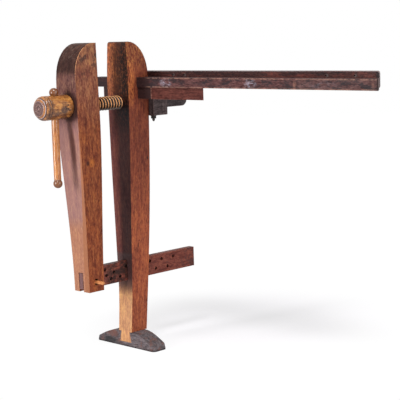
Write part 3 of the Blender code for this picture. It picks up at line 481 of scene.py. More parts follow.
# The rail's end: darker end grain, deepened with painted shade.
daub(back_wood, (0.022, 0.015, 0.016), rise(back_wood.y, -0.818, -0.826), 0.85)
NAIL_PLACES = (-0.1427, -0.1854, -0.6719, -0.7577)
NAIL_DROP = 0.0095
NAIL_RADIUS = 0.0024
NAIL_TAPER = 0.8
NAIL_DEPTH = 0.010
BACK_END_REACH = 0.045
BACK_END_ROUND = 0.0060
BACK_EDGE = 0.0026
BACK_RUB = 0.0011
back_low, back_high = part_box("back_rail")
back_face = back_low.x
nail_height = back_high.z - NAIL_DROP
nails = bmesh.new()
for nail_y in NAIL_PLACES:
    # Painted light: a pale grey rim beside each nail hole, where light catches the hole's edge.
    nail_ring = blob(back_wood, (back_face, nail_y - 0.003, nail_height), (0.01, 0.0056, 0.0046), 0.7)
    daub(back_wood, (0.13, 0.10, 0.095), nail_ring, 0.55)
    nail_spot = Matrix.Translation((back_face, nail_y, nail_height)) @ Matrix.Rotation(pi / 2, 4, "Y")
    bmesh.ops.create_cone(nails, cap_ends=True, segments=16, radius1=NAIL_RADIUS,
                          radius2=NAIL_RADIUS * NAIL_TAPER, depth=2 * NAIL_DEPTH, matrix=nail_spot)
back_bm = solid_copy("back_rail")
round_over(back_bm, rail_end(back_bm, BACK_END_REACH), BACK_END_ROUND, 4)
back_bm = rubbed(cut_away(back_bm, nails), BACK_EDGE, BACK_RUB)
place(back_bm, "back_rail_bar", oiled(back_wood, 0.40, 0.58), "frame", "back_rail")


# Cleats
# Two strips of redder wood screwed up under the front rail, one against each side of the leg.
# Their lower arrises are rubbed pale, and their starts at the leg are painted near black as the chop's
# shadow, up to a rubbed line.
CLEAT_SHADOW_REACH = 0.0945
CLEAT_EDGE = 0.0018
CLEAT_RUB = 0.0009
cleat_wood = timber("cleat_wood", "Y",
                    (0.049, 0.012, 0.009), (0.091, 0.025, 0.019), (0.136, 0.042, 0.030), 6.0)
# Painted shadow: the cleats near the leg, painted near black as the chop's shadow.
daub(cleat_wood, (0.024, 0.015, 0.016), band(cleat_wood.y, -CLEAT_SHADOW_REACH, CLEAT_SHADOW_REACH, 0.003), 0.82)
cleat_line = band(cleat_wood.y, -CLEAT_SHADOW_REACH - 0.0032, -CLEAT_SHADOW_REACH - 0.0012, 0.0012)
daub(cleat_wood, (0.40, 0.20, 0.15), cleat_line, rise(cleat_wood.flecks, 0.36, 0.56), 0.6)
rub_edges(cleat_wood, (0.46, 0.22, 0.155), 0.85)
cleat_finish = oiled(cleat_wood, 0.42, 0.60)
for cleat in ("rail_cleat_near", "rail_cleat_far"):
    cleat_bm = rubbed(solid_copy(cleat), CLEAT_EDGE, CLEAT_RUB)
    cleat_name = cleat.replace("rail_cleat", "cleat_strip")
    place(cleat_bm, cleat_name, cleat_finish, "frame", cleat)


# Brackets
# Stepped blocks behind the leg, one on each side of the screw's path, hung under the back rail.
# Rough grey-brown wood, sawn across and never polished.
BRACKET_STEP = 0.129
BRACKET_EDGE = 0.0022
BRACKET_RUB = 0.0012
bracket_wood = timber("bracket_wood", "X",
                      (0.056, 0.040, 0.040), (0.105, 0.075, 0.074), (0.160, 0.120, 0.116), 8.0)
saw_marks = rise(cloud(drawn_out(bracket_wood.coords, "Z", 8.5, 0.05), 230.0), 0.50, 0.60)
wash(bracket_wood, (0.55, 0.55, 0.56), saw_marks, 0.8)
wash(bracket_wood, (0.45, 0.48, 0.50), rise(bracket_wood.x, BRACKET_STEP - 0.004, BRACKET_STEP + 0.004))
rub_edges(bracket_wood, (0.20, 0.135, 0.12), 0.7)
bracket_finish = oiled(bracket_wood, 0.55, 0.75)
for bracket in ("bracket_near", "bracket_far"):
    bracket_bm = rubbed(solid_copy(bracket), BRACKET_EDGE, BRACKET_RUB)
    bracket_name = bracket.replace("bracket", "bracket_block")
    place(bracket_bm, bracket_name, bracket_finish, "frame", bracket)


# Ironwork
# Bolts with nuts and thin washers hold the brackets, bolts hold the rails to the leg, and screws hold
# rail to rail and the cleats. All of it is black iron with a bloom of rust.
iron = bpy.data.materials.new("black_iron")
iron.use_nodes = True
iron_nodes = iron.node_tree.nodes
iron_coords = iron_nodes.new("ShaderNodeTexCoord").outputs["Object"]
iron_rust = rise(cloud(iron_coords, 260.0, 5.0, 0.7), 0.50, 0.66)
iron_shader = iron_nodes["Principled BSDF"]
feed(iron_shader.inputs["Base Color"], tint(iron_rust, (0.030, 0.027, 0.027), (0.080, 0.038, 0.023)))
feed(iron_shader.inputs["Metallic"], spread(iron_rust, 0.0, 1.0, 0.85, 0.15))
feed(iron_shader.inputs["Roughness"], spread(iron_rust, 0.0, 1.0, 0.44, 0.78))
iron_bump = iron_nodes.new("ShaderNodeBump")
iron_bump.inputs["Strength"].default_value = 0.4
iron_bump.inputs["Distance"].default_value = 0.0003
feed(iron_bump.inputs["Height"], cloud(iron_coords, 420.0, 4.0, 0.6))
feed(iron_shader.inputs["Normal"], iron_bump.outputs["Normal"])
IRON_EDGE = 0.0005
IRON_RUB = 0.0002
IRON_SHARP = 50.0
IRON_KINDS = ("bracket_bolt", "bracket_washer", "bracket_nut", "leg_bolt", "rail_screw", "cleat_screw")
for fastener in sorted(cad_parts):
    if fastener.startswith(IRON_KINDS):
        iron_bm = rubbed(solid_copy(fastener), IRON_EDGE, IRON_RUB, IRON_SHARP)
        place(iron_bm, fastener + "_iron", iron, "frame", fastener, smooth_to=40.0)


# Chop
# The moving jaw, the leg's twin, hung on the screw and kept upright by the guide board in its foot.
# A facet is planed off its outer face along the near arris, ever wider from the screw head down, and its
# crown is dark with handling.
def bar_tool(tool, middle, sides):
    """Adds a small block to a cutting tool."""
    matrix = Matrix.Translation(middle) @ Matrix.Diagonal((*sides, 1.0))
    bmesh.ops.create_cube(tool, size=1.0, matrix=matrix)


FACET_TOP = 0.620
FACET_FULL = 0.280
FACET_SEAMS = (FACET_TOP, 0.55, 0.46, 0.37, FACET_FULL)
FACET_REACH = 0.030
FACET_SIDE = -0.024
FACET_CUT = 0.0080
FACET_WIDTH = 0.0170
FACET_DEPTH = 0.0006
FACET_START = 0.15
CROWN_SPRING = 0.773
CROWN_ROUND = 0.0110
CROWN_EASE = 0.0052
CROWN_BACK = 0.014
CHOP_TOP_REACH = 0.003
CHOP_TOP_ROUND = 0.0075
CHOP_EDGE = 0.0030
CHOP_RUB = 0.0012
chop_low, chop_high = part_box("chop")
chop_bm = solid_copy("chop")
planed = chop_bm.loops.layers.float.new("planed")
slice_across(chop_bm, FACET_SEAMS)
near_arris = []
near_crown = []
far_crown = []
for edge in arrises(chop_bm):
    edge_middle = (edge.verts[0].co + edge.verts[1].co) / 2
    upright = abs(edge.verts[0].co.z - edge.verts[1].co.z) > 0.8 * edge.calc_length()
    outer_near = edge_middle.x < chop_low.x + FACET_REACH and edge_middle.y < FACET_SIDE
    if upright and outer_near and edge_middle.z < FACET_TOP:
        near_arris.append(edge)
    elif edge_middle.z > CROWN_SPRING and edge_middle.x < chop_high.x - CROWN_BACK:
        (near_crown if edge_middle.y < 0 else far_crown).append(edge)
facet = set(round_over(chop_bm, near_arris, FACET_CUT, 1)["faces"])
facet_moves = {}
for face in [face for face in facet if len(face.verts) == 4]:
    side_middle = sum(v.co.y for v in face.verts) / len(face.verts)
    for vert in face.verts:
        taper = (FACET_TOP - vert.co.z) / (FACET_TOP - FACET_FULL)
        grown = FACET_START + (1.0 - FACET_START) * min(max(taper, 0.0), 1.0)
        if vert.co.y < side_middle:
            facet_moves[vert] = Vector((FACET_DEPTH * grown - FACET_CUT, 0, 0))
        else:
            facet_moves[vert] = Vector((0, FACET_WIDTH * grown - FACET_CUT, 0))
for vert, move in facet_moves.items():
    vert.co += move
for face in facet:
    for loop in face.loops:
        loop[planed] = 1.0
round_over(chop_bm, [edge for edge in far_crown if edge.is_valid], CROWN_ROUND, 4)
chop_wear = chop_bm.loops.layers.float["wear"]
for face in round_over(chop_bm, [edge for edge in near_crown if edge.is_valid], CROWN_EASE, 3)["faces"]:
    for loop in face.loops:
        loop[chop_wear] = 1.0
chop_top = [e for e in arrises(chop_bm) if min(v.co.z for v in e.verts) > chop_high.z - TOUCH
            and min(v.co.x for v in e.verts) > chop_high.x - CHOP_TOP_REACH]
round_over(chop_bm, chop_top, CHOP_TOP_ROUND, 4)

peg_low, peg_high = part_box("guide_peg")
peg_radius = (peg_high.z - peg_low.z) / 2
peg_middle = (peg_low + peg_high) / 2
guide_low, guide_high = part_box("guide")
PEG_HOLE = (0.0112, 0.0280, 0.0165)
PEG_HOLE_Y = -0.026
PEG_HOLE_LIFT = 0.0008
TENON_NEAR = -0.0045
TENON_TOP = 0.236
TENON_GAP = 0.0014
TENON_NEAR_GAP = 0.0026
TENON_OUTLINE_DEPTH = 0.024
openings = bmesh.new()
bar_tool(openings, (peg_middle.x, PEG_HOLE_Y, peg_middle.z + PEG_HOLE_LIFT), PEG_HOLE)
slot_near = TENON_NEAR - TENON_NEAR_GAP
slot_far = guide_high.y + TENON_GAP
slot_top = TENON_TOP + TENON_GAP
slot_low = chop_low.z - TENON_GAP
bar_tool(openings, (guide_low.x, (slot_near + slot_far) / 2, (slot_low + slot_top) / 2),
         (TENON_OUTLINE_DEPTH, slot_far - slot_near, slot_top - slot_low))
chop_bm = rubbed(cut_away(chop_bm, openings), CHOP_EDGE, CHOP_RUB)

chop_wood = timber("chop_wood", "Z",
                   (0.120, 0.027, 0.015), (0.235, 0.063, 0.027), (0.355, 0.118, 0.042), 9.0)
facet_mark = chop_wood.material.node_tree.nodes.new("ShaderNodeAttribute")
facet_mark.attribute_name = "planed"
on_facet = facet_mark.outputs["Fac"]
outer_side = both(rise(chop_wood.nx, -0.50, -0.85), reckon("SUBTRACT", 1.0, on_facet))
cheek = rise(chop_wood.ny, -0.5, -0.8)
wash(chop_wood, (0.76, 0.78, 0.88), rise(chop_wood.broad, 0.48, 0.60), 0.7)
wash(chop_wood, (1.20, 1.18, 0.98), rise(chop_wood.patches, 0.50, 0.62), 0.6)
wash(chop_wood, (0.78, 0.74, 0.80), rise(chop_wood.patches, 0.48, 0.38), 0.6)
# Painted light: the near face is painted a little lighter towards the bottom, as the light from the white
# floor.
wash(chop_wood, (1.10, 1.05, 1.00), cheek, rise(chop_wood.z, 0.46, 0.34))
wash(chop_wood, (1.05, 1.40, 1.90), cheek, rise(chop_wood.z, 0.60, 0.76))
wash(chop_wood, (1.08, 1.20, 1.10), cheek, rise(chop_wood.z, 0.78, 0.84))
# The outer face's purple-grey and pink tints are a painted sheen of the white surroundings; its lighter,
# tan lower part is paler wood with painted light from the floor.
wash(chop_wood, (0.72, 1.15, 2.10), outer_side, rise(chop_wood.z, 0.60, 0.68))
wash(chop_wood, (1.45, 2.40, 3.40), outer_side, rise(chop_wood.z, 0.68, 0.58))
daub(chop_wood, (0.320, 0.172, 0.162), outer_side, band(chop_wood.z, 0.40, 0.62, 0.06), 0.65)
daub(chop_wood, (0.450, 0.200, 0.118), outer_side, rise(chop_wood.z, 0.40, 0.34), 0.6)
# Painted light: the planed facet is painted paler, as the light it catches.
daub(chop_wood, (0.365, 0.152, 0.078), on_facet, 0.85)
# Painted shadow of the tommy bar down the outer face.
painted_bar_shadow = blob(chop_wood, (chop_low.x, -0.0130, 0.585), (0.50, 0.0150, 0.085), 0.3)
daub(chop_wood, (0.120, 0.040, 0.031), outer_side, painted_bar_shadow, 0.75)
# Painted shadow: a dark ring on the outer face round the screw head, where the head shades it.
painted_head_shadow = blob(chop_wood, (chop_low.x, -0.010, 0.692), (0.060, 0.048, 0.046), 0.72)
daub(chop_wood, (0.030, 0.013, 0.012), outer_side, painted_head_shadow, 0.75)
pitch_spots = cloud(chop_wood.coords, 58.0, 5.0, 0.65)
daub(chop_wood, (0.045, 0.026, 0.024), rise(chop_wood.z, 0.72, 0.83), rise(pitch_spots, 0.55, 0.62), 0.8)
off_cheek = rise(chop_wood.ny, -0.70, -0.45)
crown_streaks = cloud(drawn_out(chop_wood.coords, "X", 3.0, 0.30), 140.0, 5.0, 0.65)
daub(chop_wood, (0.024, 0.009, 0.007), off_cheek, rise(chop_wood.z, 0.766, 0.792),
     spread(pitch_spots, 0.40, 0.60, 0.80, 0.97))
daub(chop_wood, (0.115, 0.068, 0.052), off_cheek, rise(chop_wood.z, 0.808, 0.826),
     rise(crown_streaks, 0.48, 0.66), 0.8)
KNOT = (-0.1560, -0.0435, 0.5405)
KNOT_SPECKS = ((-0.1440, 0.5360), (-0.1420, 0.5270), (-0.1465, 0.5180))
knot_glow = blob(chop_wood, (-0.1420, KNOT[1], 0.5400), (0.014, 0.02, 0.018), 0.1)
daub(chop_wood, (0.52, 0.16, 0.036), knot_glow, 0.7)
daub(chop_wood, (0.050, 0.016, 0.013), blob(chop_wood, KNOT, (0.0075, 0.02, 0.0100), 0.3), 0.9)
for speck_x, speck_z in KNOT_SPECKS:
    speck = blob(chop_wood, (speck_x, KNOT[1], speck_z), (0.0022, 0.02, 0.0048), 0.3)
    daub(chop_wood, (0.060, 0.018, 0.014), speck, 0.7)
# Painted shade inside the oversized hole round the peg.
painted_peg_hole_shade = blob(chop_wood, (peg_middle.x, PEG_HOLE_Y, peg_middle.z), (0.012, 0.020, 0.015), 0.8)
daub(chop_wood, (0.012, 0.008, 0.007), painted_peg_hole_shade, rise(chop_wood.y, -0.0272, -0.0250))
rub_edges(chop_wood, (0.56, 0.255, 0.120), 0.85)
place(chop_bm, "chop_jaw", oiled(chop_wood, 0.42, 0.60, 0.08), "chop", "chop")


# Garter key
# A flat key slid into the chop from its far edge, hollowed to ride in the screw's neck.
# It makes the screw draw the chop back when it is loosened.
KEY_EDGE = 0.0008
KEY_RUB = 0.0004
key_wood = timber("key_wood", "Y",
                  (0.13, 0.045, 0.025), (0.24, 0.085, 0.045), (0.34, 0.135, 0.065), 12.0)
rub_edges(key_wood, (0.40, 0.19, 0.09), 0.6)
key_bm = rubbed(solid_copy("garter_key"), KEY_EDGE, KEY_RUB)
place(key_bm, "garter_key_slip", oiled(key_wood, 0.45, 0.62), "chop", "garter_key")


# Guide board
# A drilled board tenoned into the chop's foot, running through a mortise in the leg.
# Grease has blackened it where it enters the leg.
GUIDE_EDGE = 0.0012
GUIDE_RUB = 0.0006
guide_wood = timber("guide_wood", "X",
                    (0.098, 0.022, 0.016), (0.180, 0.048, 0.033), (0.262, 0.081, 0.049), 14.0)
grease_cloud = cloud(guide_wood.coords, 68.0, 5.0, 0.66)
daub(guide_wood, (0.016, 0.011, 0.010), band(guide_wood.x, -0.062, 0.004, 0.030),
     rise(grease_cloud, 0.32, 0.60), 0.88)
daub(guide_wood, (0.060, 0.026, 0.026), rise(guide_wood.x, 0.19, 0.25), rise(grease_cloud, 0.50, 0.60), 0.7)
daub(guide_wood, (0.175, 0.095, 0.096), rise(guide_wood.x, -0.148, -0.156), 0.85)
wash(guide_wood, (1.30, 1.40, 1.45), band(guide_wood.x, -0.140, -0.085, 0.015))
daub(guide_wood, (0.030, 0.016, 0.015), rise(guide_wood.nx, 0.5, 0.8), 0.8)
rub_edges(guide_wood, (0.30, 0.120, 0.075), 0.7)
guide_bm = rubbed(solid_copy("guide"), GUIDE_EDGE, GUIDE_RUB)
place(guide_bm, "guide_board", oiled(guide_wood, 0.42, 0.60), "chop", "guide")


# Guide peg
# A whittled peg of paler wood, pushed through the chop's cheek and the guide board.
# Its outer end is rounded with use.
def turned(outline_points, axis, centre, steps):
    """A lathe-turned mesh: points of (along, radius) spun about an axis through centre."""
    bm = bmesh.new()
    line = [bm.verts.new((radius, 0.0, along)) for along, radius in outline_points]
    edges = [bm.edges.new(pair) for pair in zip(line, line[1:])]
    bmesh.ops.spin(bm, geom=line + edges, cent=(0, 0, 0), axis=(0, 0, 1), angle=2 * pi, steps=steps,
                   use_merge=True)
    bmesh.ops.remove_doubles(bm, verts=bm.verts, dist=0.00001)
    bmesh.ops.recalc_face_normals(bm, faces=bm.faces)
    turn = Vector(axis).to_track_quat("Z", "Y").to_matrix().to_4x4()
    bmesh.ops.transform(bm, verts=bm.verts, matrix=Matrix.Translation(centre) @ turn)
    for face in bm.faces:
        face.smooth = True
    return bm


peg_length = peg_high.y - peg_low.y
PEG_ROUND = 0.0026
PEG_BLUNT = 1.6
PEG_STEPS = 6
peg_points = [(0.0, 0.0), (0.0, peg_radius - PEG_BLUNT * PEG_ROUND)]
for k in range(1, PEG_STEPS + 1):
    bend = pi / 2 * k / PEG_STEPS
    peg_points.append((PEG_ROUND * (1 - cos(bend)), peg_radius - PEG_BLUNT * PEG_ROUND * (1 - sin(bend))))
peg_points += [(0.5 * peg_length, peg_radius * 0.97), (peg_length - PEG_ROUND, peg_radius * 0.94)]
peg_points += [(peg_length, peg_radius * 0.7), (peg_length, 0.0)]
peg_wood = timber("peg_wood", "Y", (0.38, 0.128, 0.042), (0.57, 0.225, 0.080), (0.70, 0.34, 0.150), 16.0)
peg_bm = turned(peg_points, (0, 1, 0), (peg_middle.x, peg_low.y, peg_middle.z), 14)
place(peg_bm, "guide_peg_pin", oiled(peg_wood, 0.42, 0.58), "peg", "guide_peg",
      smooth_to=20.0)


# Vise screw
# One turned length of hard wood: a head with a ringed nose and a cross hole for the bar, a plain shank
# with a neck for the garter key, and a coarse thread whose grooves are black with old grease.
screw_low, screw_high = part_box("vise_screw")
screw_middle = (screw_low + screw_high) / 2
HEAD_LENGTH = 0.0956
HEAD_RADIUS = (screw_high.z - screw_low.z) / 2
DISC_RADIUS = 0.0215
NOSE_LENGTH = 0.0160
GROOVES = (0.0058, 0.0140, 0.0222)
GROOVE_HALF = 0.0016
GROOVE_DEPTH = 0.0015
SHANK_RADIUS = 0.0190
NECK_RADIUS = 0.0146
NECK_HALF = 0.006
NECK_SETBACK = 0.030
THREAD_PITCH = 0.010
THREAD_CORE = 0.0142
THREAD_RUNOUT = 0.0048
THREAD_OUTSIDE_CHOP = 0.005
RIM_ROUND = 0.0042
RIM_STEPS = 6
SCREW_TIP = 0.004
SCREW_TIP_DROP = 0.0025
head_end = screw_low.x
neck_middle = chop_low.x + NECK_SETBACK
thread_start = chop_high.x + THREAD_OUTSIDE_CHOP
screw_end = screw_high.x


def nose(along):
    """The head's swelling nose, with a round-bottomed ring cut at each groove."""
    t = min(along / NOSE_LENGTH, 1.0)
    radius = DISC_RADIUS + (HEAD_RADIUS - DISC_RADIUS) * (1 - (1 - t) ** 2)
    for groove in GROOVES:
        reach = abs(along - groove) / GROOVE_HALF
        if reach < 1.0:
            radius -= GROOVE_DEPTH * sqrt(1.0 - reach * reach)
    return radius


head_points = [(0.0010, 0.0), (0.0010, 0.0060), (0.0001, 0.0068), (0.0001, 0.0100), (0.0009, 0.0106),
               (0.0009, 0.0122), (0.0, 0.0128), (0.0, DISC_RADIUS - 0.0012)]
NOSE_START = 0.0007
NOSE_STEP = 0.00055
NOSE_STEPS = 44
head_points += [(NOSE_START + NOSE_STEP * k, nose(NOSE_START + NOSE_STEP * k)) for k in range(NOSE_STEPS)]
head_points.append((HEAD_LENGTH - RIM_ROUND, HEAD_RADIUS))
for k in range(1, RIM_STEPS + 1):
    bend = pi / 2 * k / RIM_STEPS
    rim_along = HEAD_LENGTH - RIM_ROUND * (1 - sin(bend))
    head_points.append((rim_along, HEAD_RADIUS - RIM_ROUND * (1 - cos(bend))))
shank_points = [(HEAD_LENGTH, SHANK_RADIUS)]
for along, radius in ((neck_middle - NECK_HALF, SHANK_RADIUS), (neck_middle - NECK_HALF, NECK_RADIUS),
                      (neck_middle + NECK_HALF, NECK_RADIUS), (neck_middle + NECK_HALF, SHANK_RADIUS),
                      (thread_start, SHANK_RADIUS), (thread_start + THREAD_RUNOUT, THREAD_CORE),
                      (screw_end - SCREW_TIP, THREAD_CORE), (screw_end, THREAD_CORE - SCREW_TIP_DROP),
                      (screw_end, 0.0)):
    shank_points.append((along - head_end, radius))
screw_bm = turned(head_points + shank_points, (1, 0, 0), (head_end, 0.0, screw_middle.z), 64)

RIDGE_GAP = 0.0008
RIDGE_HALF = (THREAD_PITCH - RIDGE_GAP) / 2
RIDGE_ROOT = THREAD_CORE - 0.0008
CREST_HALF = 0.0011
CREST_FLAT = CREST_HALF * 0.45
CREST_SHOULDER = SHANK_RADIUS - 0.0005
RIDGE_STEPS_A_TURN = 40
ridge_first = thread_start - THREAD_PITCH / 2
ridge_last = screw_end - 2 * THREAD_RUNOUT - THREAD_PITCH
ridge_turns = (ridge_last - ridge_first) / THREAD_PITCH
ridge_steps = round(ridge_turns * RIDGE_STEPS_A_TURN)
ridge_section = [(RIDGE_ROOT, -RIDGE_HALF), (RIDGE_ROOT, RIDGE_HALF), (CREST_SHOULDER, CREST_HALF),
                 (SHANK_RADIUS, CREST_FLAT), (SHANK_RADIUS, -CREST_FLAT), (CREST_SHOULDER, -CREST_HALF)]
ridge = bmesh.new()
ridge_loop = []
for radius, along in ridge_section:
    ridge_loop.append(ridge.verts.new((radius, 0.0, ridge_first - head_end + along)))
ridge_edges = [ridge.edges.new((ridge_loop[k - 1], ridge_loop[k])) for k in range(len(ridge_loop))]
bmesh.ops.spin(ridge, geom=ridge_loop + ridge_edges, cent=(0, 0, 0), axis=(0, 0, 1),
               dvec=(0, 0, (ridge_last - ridge_first) / ridge_steps), angle=2 * pi * ridge_turns,
               steps=ridge_steps, use_duplicate=False)
bmesh.ops.holes_fill(ridge, edges=[e for e in ridge.edges if e.is_boundary], sides=len(ridge_loop))
bmesh.ops.recalc_face_normals(ridge, faces=ridge.faces)
for face in ridge.faces:
    face.smooth = True
along_screw = Vector((1, 0, 0)).to_track_quat("Z", "Y").to_matrix().to_4x4()
bmesh.ops.transform(ridge, verts=ridge.verts,
                    matrix=Matrix.Translation((head_end, 0.0, screw_middle.z)) @ along_screw)
bar_low, bar_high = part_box("handle_bar")
bar_middle = (bar_low + bar_high) / 2
bar_radius = (bar_high.x - bar_low.x) / 2
BAR_PLAY = 0.0004
WORM_HOLES = ((0.075, 0.006), (0.069, -0.003), (0.0745, -0.0035), (0.080, -0.008), (0.066, 0.002))
WORM_RADIUS = 0.0015
WORM_DEPTH = 0.006
drills = bmesh.new()
bmesh.ops.create_cone(drills, cap_ends=True, segments=48, radius1=bar_radius + BAR_PLAY,
                      radius2=bar_radius + BAR_PLAY, depth=4 * HEAD_RADIUS,
                      matrix=Matrix.Translation((bar_middle.x, 0.0, screw_middle.z)))
worm_spots = []
for worm_along, worm_up in WORM_HOLES:
    worm_side = -sqrt(HEAD_RADIUS ** 2 - worm_up ** 2)
    worm_spot = Vector((head_end + worm_along, worm_side, screw_middle.z + worm_up))
    worm_spots.append(worm_spot)
    worm_matrix = Matrix.Translation(worm_spot) @ Matrix.Rotation(pi / 2, 4, "X")
    bmesh.ops.create_cone(drills, cap_ends=True, segments=10, radius1=WORM_RADIUS, radius2=WORM_RADIUS,
                          depth=WORM_DEPTH, matrix=worm_matrix)
screw_bm = cut_away(screw_bm, drills)
ridge_mesh = bpy.data.meshes.new("ridge")
ridge.to_mesh(ridge_mesh)
ridge.free()
screw_bm.from_mesh(ridge_mesh)

screw_wood = timber("screw_wood", "X",
                    (0.160, 0.050, 0.012), (0.420, 0.155, 0.036), (0.620, 0.285, 0.075), 18.0)
off_axis = reckon("SUBTRACT", screw_wood.z, screw_middle.z)
from_axis = reckon("SQRT", reckon("ADD", both(screw_wood.y, screw_wood.y), both(off_axis, off_axis)))
on_head = rise(screw_wood.x, head_end + HEAD_LENGTH, head_end + HEAD_LENGTH - 0.002)
varnish = cloud(screw_wood.coords, 46.0, 5.0, 0.66)
daub(screw_wood, (0.135, 0.048, 0.016), on_head, rise(varnish, 0.50, 0.60), 0.75)
# Painted shade: the head is painted darker towards its underside, broken by the varnish cloud.
daub(screw_wood, (0.080, 0.032, 0.018), on_head, rise(off_axis, 0.002, -0.026),
     rise(varnish, 0.34, 0.54), 0.85)
stain_spot = (head_end + 0.057, -0.028, screw_middle.z - 0.006)
head_stain = blob(screw_wood, stain_spot, (0.026, 0.022, 0.013), 0.3)
daub(screw_wood, (0.080, 0.034, 0.020), head_stain, rise(varnish, 0.38, 0.54), 0.9)
for worm_spot in worm_spots:
    daub(screw_wood, (0.024, 0.012, 0.009), blob(screw_wood, worm_spot, (0.0027, 0.006, 0.0027), 0.6), 0.9)
end_face = rise(from_axis, DISC_RADIUS + 0.0006, DISC_RADIUS - 0.0006)
RING_WIDTH = 0.0090
end_rings = rise(reckon("SINE", both(from_axis, 2 * pi / RING_WIDTH)), -0.2, 0.9)
end_colour = tint(end_rings, (0.085, 0.038, 0.035), (0.185, 0.103, 0.095))
daub(screw_wood, end_colour, end_face, rise(screw_wood.x, head_end + 0.006, head_end + 0.003), 0.94)
for groove in GROOVES:
    from_groove = reckon("ABSOLUTE", reckon("SUBTRACT", screw_wood.x, head_end + groove))
    daub(screw_wood, (0.045, 0.018, 0.012), rise(from_groove, GROOVE_HALF, GROOVE_HALF * 0.4), 0.9)
# Painted reflection: a pale bluish ring beside the first groove, the white surroundings mirrored in it.
painted_ring_reflection = band(screw_wood.x, head_end + GROOVES[0] - 0.0026, head_end + GROOVES[0] - 0.0012, 0.0006)
daub(screw_wood, (0.46, 0.38, 0.40), painted_ring_reflection, 0.7)
on_thread = rise(screw_wood.x, thread_start - 0.012, thread_start - 0.006)
groove_grease = rise(from_axis, SHANK_RADIUS - 0.0009, SHANK_RADIUS - 0.0017)
daub(screw_wood, (0.012, 0.007, 0.006), on_thread, groove_grease, 0.97)
crest_rub = both(on_thread, rise(from_axis, SHANK_RADIUS - 0.0013, SHANK_RADIUS - 0.0007))
crest_share = spread(screw_wood.x, chop_high.x, chop_high.x + 0.07, 0.40, 0.95)
daub(screw_wood, (0.78, 0.36, 0.13), crest_rub, crest_share)
# Painted shade: the thread is painted near black on its underside.
daub(screw_wood, (0.020, 0.010, 0.008), on_thread, rise(off_axis, -0.004, -0.014), 0.8)
place(screw_bm, "screw_and_head", oiled(screw_wood, 0.18, 0.30, 0.5, 0.0003), "screw",
      "vise_screw", smooth_to=40.0)


# Handle
# A turned tommy bar that slides through the head, with a glued ball at each end.
# Hands have polished it to a honey shine.
handle_wood = timber("handle_wood", "Z",
                     (0.280, 0.085, 0.020), (0.460, 0.165, 0.042), (0.600, 0.260, 0.080), 20.0)
from_middle = reckon("ABSOLUTE", reckon("SUBTRACT", handle_wood.z, (bar_low.z + bar_high.z) / 2))
daub(handle_wood, (0.120, 0.036, 0.011), rise(from_middle, 0.1085, 0.1115), 0.8)
handle_finish = oiled(handle_wood, 0.08, 0.14, 0.6, 0.0001)
bar_length = bar_high.z - bar_low.z
TENON_LENGTH = 0.012
TENON_RADIUS = 0.006
NECKED = 0.97
BAR_STEPS = 8
bar_points = [(0.0, 0.0), (0.0, TENON_RADIUS), (TENON_LENGTH, TENON_RADIUS),
              (TENON_LENGTH, bar_radius * NECKED)]
for k in range(1, BAR_STEPS):
    share = k / BAR_STEPS
    swell = bar_radius * (NECKED + (1 - NECKED) * sin(pi * share))
    bar_points.append((TENON_LENGTH + (bar_length - 2 * TENON_LENGTH) * share, swell))
bar_points += [(bar_length - TENON_LENGTH, bar_radius * NECKED), (bar_length - TENON_LENGTH, TENON_RADIUS),
               (bar_length, TENON_RADIUS), (bar_length, 0.0)]
bar_bm = turned(bar_points, (0, 0, 1), (bar_middle.x, 0.0, bar_low.z), 48)
place(bar_bm, "tommy_bar", handle_finish, "handle", "handle_bar")

BALL_STEPS = 24
BALL_LEAST_STEP = 0.0004
SOCKET_PLAY = 0.0003
SOCKET_RADIUS = TENON_RADIUS + SOCKET_PLAY
for ball, way in (("handle_ball_upper", 1), ("handle_ball_lower", -1)):
    ball_low, ball_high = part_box(ball)
    ball_radius = (ball_high.x - ball_low.x) / 2
    flat = ball_high.z - ball_low.z - ball_radius
    flat_radius = sqrt(max(ball_radius ** 2 - flat ** 2, SOCKET_RADIUS ** 2))
    ball_points = [(-flat + TENON_LENGTH, 0.0), (-flat + TENON_LENGTH, SOCKET_RADIUS),
                   (-flat, SOCKET_RADIUS), (-flat, flat_radius)]
    for k in range(1, BALL_STEPS):
        along = -ball_radius * cos(pi * k / BALL_STEPS)
        if along > -flat + BALL_LEAST_STEP:
            ball_points.append((along, ball_radius * sin(pi * k / BALL_STEPS)))
    ball_points.append((ball_radius, 0.0))
    seat = ball_low.z + flat if way > 0 else ball_high.z - flat
    ball_bm = turned(ball_points, (0, 0, way), (bar_middle.x, 0.0, seat), 40)
    ball_name = ball.replace("handle_ball", "ball_end")
    place(ball_bm, ball_name, handle_finish, "handle", ball)


# Studio
# A white floor and surroundings, a tall soft lamp from the left, a wide weak one from the right, one
# from above, a thin strip that shines in the turned wood, and the camera where the picture was taken.
FLOOR_REACH = 9.0
FLOOR_SINK = 0.0006
floor_bm = bmesh.new()
bmesh.ops.create_circle(floor_bm, cap_ends=True, segments=64, radius=FLOOR_REACH,
                        matrix=Matrix.Translation((0, 0, -FLOOR_SINK)))
floor_mesh = bpy.data.meshes.new("studio_floor")
floor_bm.to_mesh(floor_mesh)
floor_bm.free()
floor = bpy.data.objects.new("studio_floor", floor_mesh)
bpy.context.scene.collection.objects.link(floor)
floor_paint = bpy.data.materials.new("studio_white")
floor_paint.use_nodes = True
floor_nodes = floor_paint.node_tree.nodes


def seen_directly(tree):
    """1 for rays that show the surroundings themselves: straight, mirrored or through glass."""
    path = tree.nodes.new("ShaderNodeLightPath")
    mirrored = reckon("MAXIMUM", path.outputs["Is Glossy Ray"], path.outputs["Is Transmission Ray"])
    return reckon("MAXIMUM", path.outputs["Is Camera Ray"], mirrored)


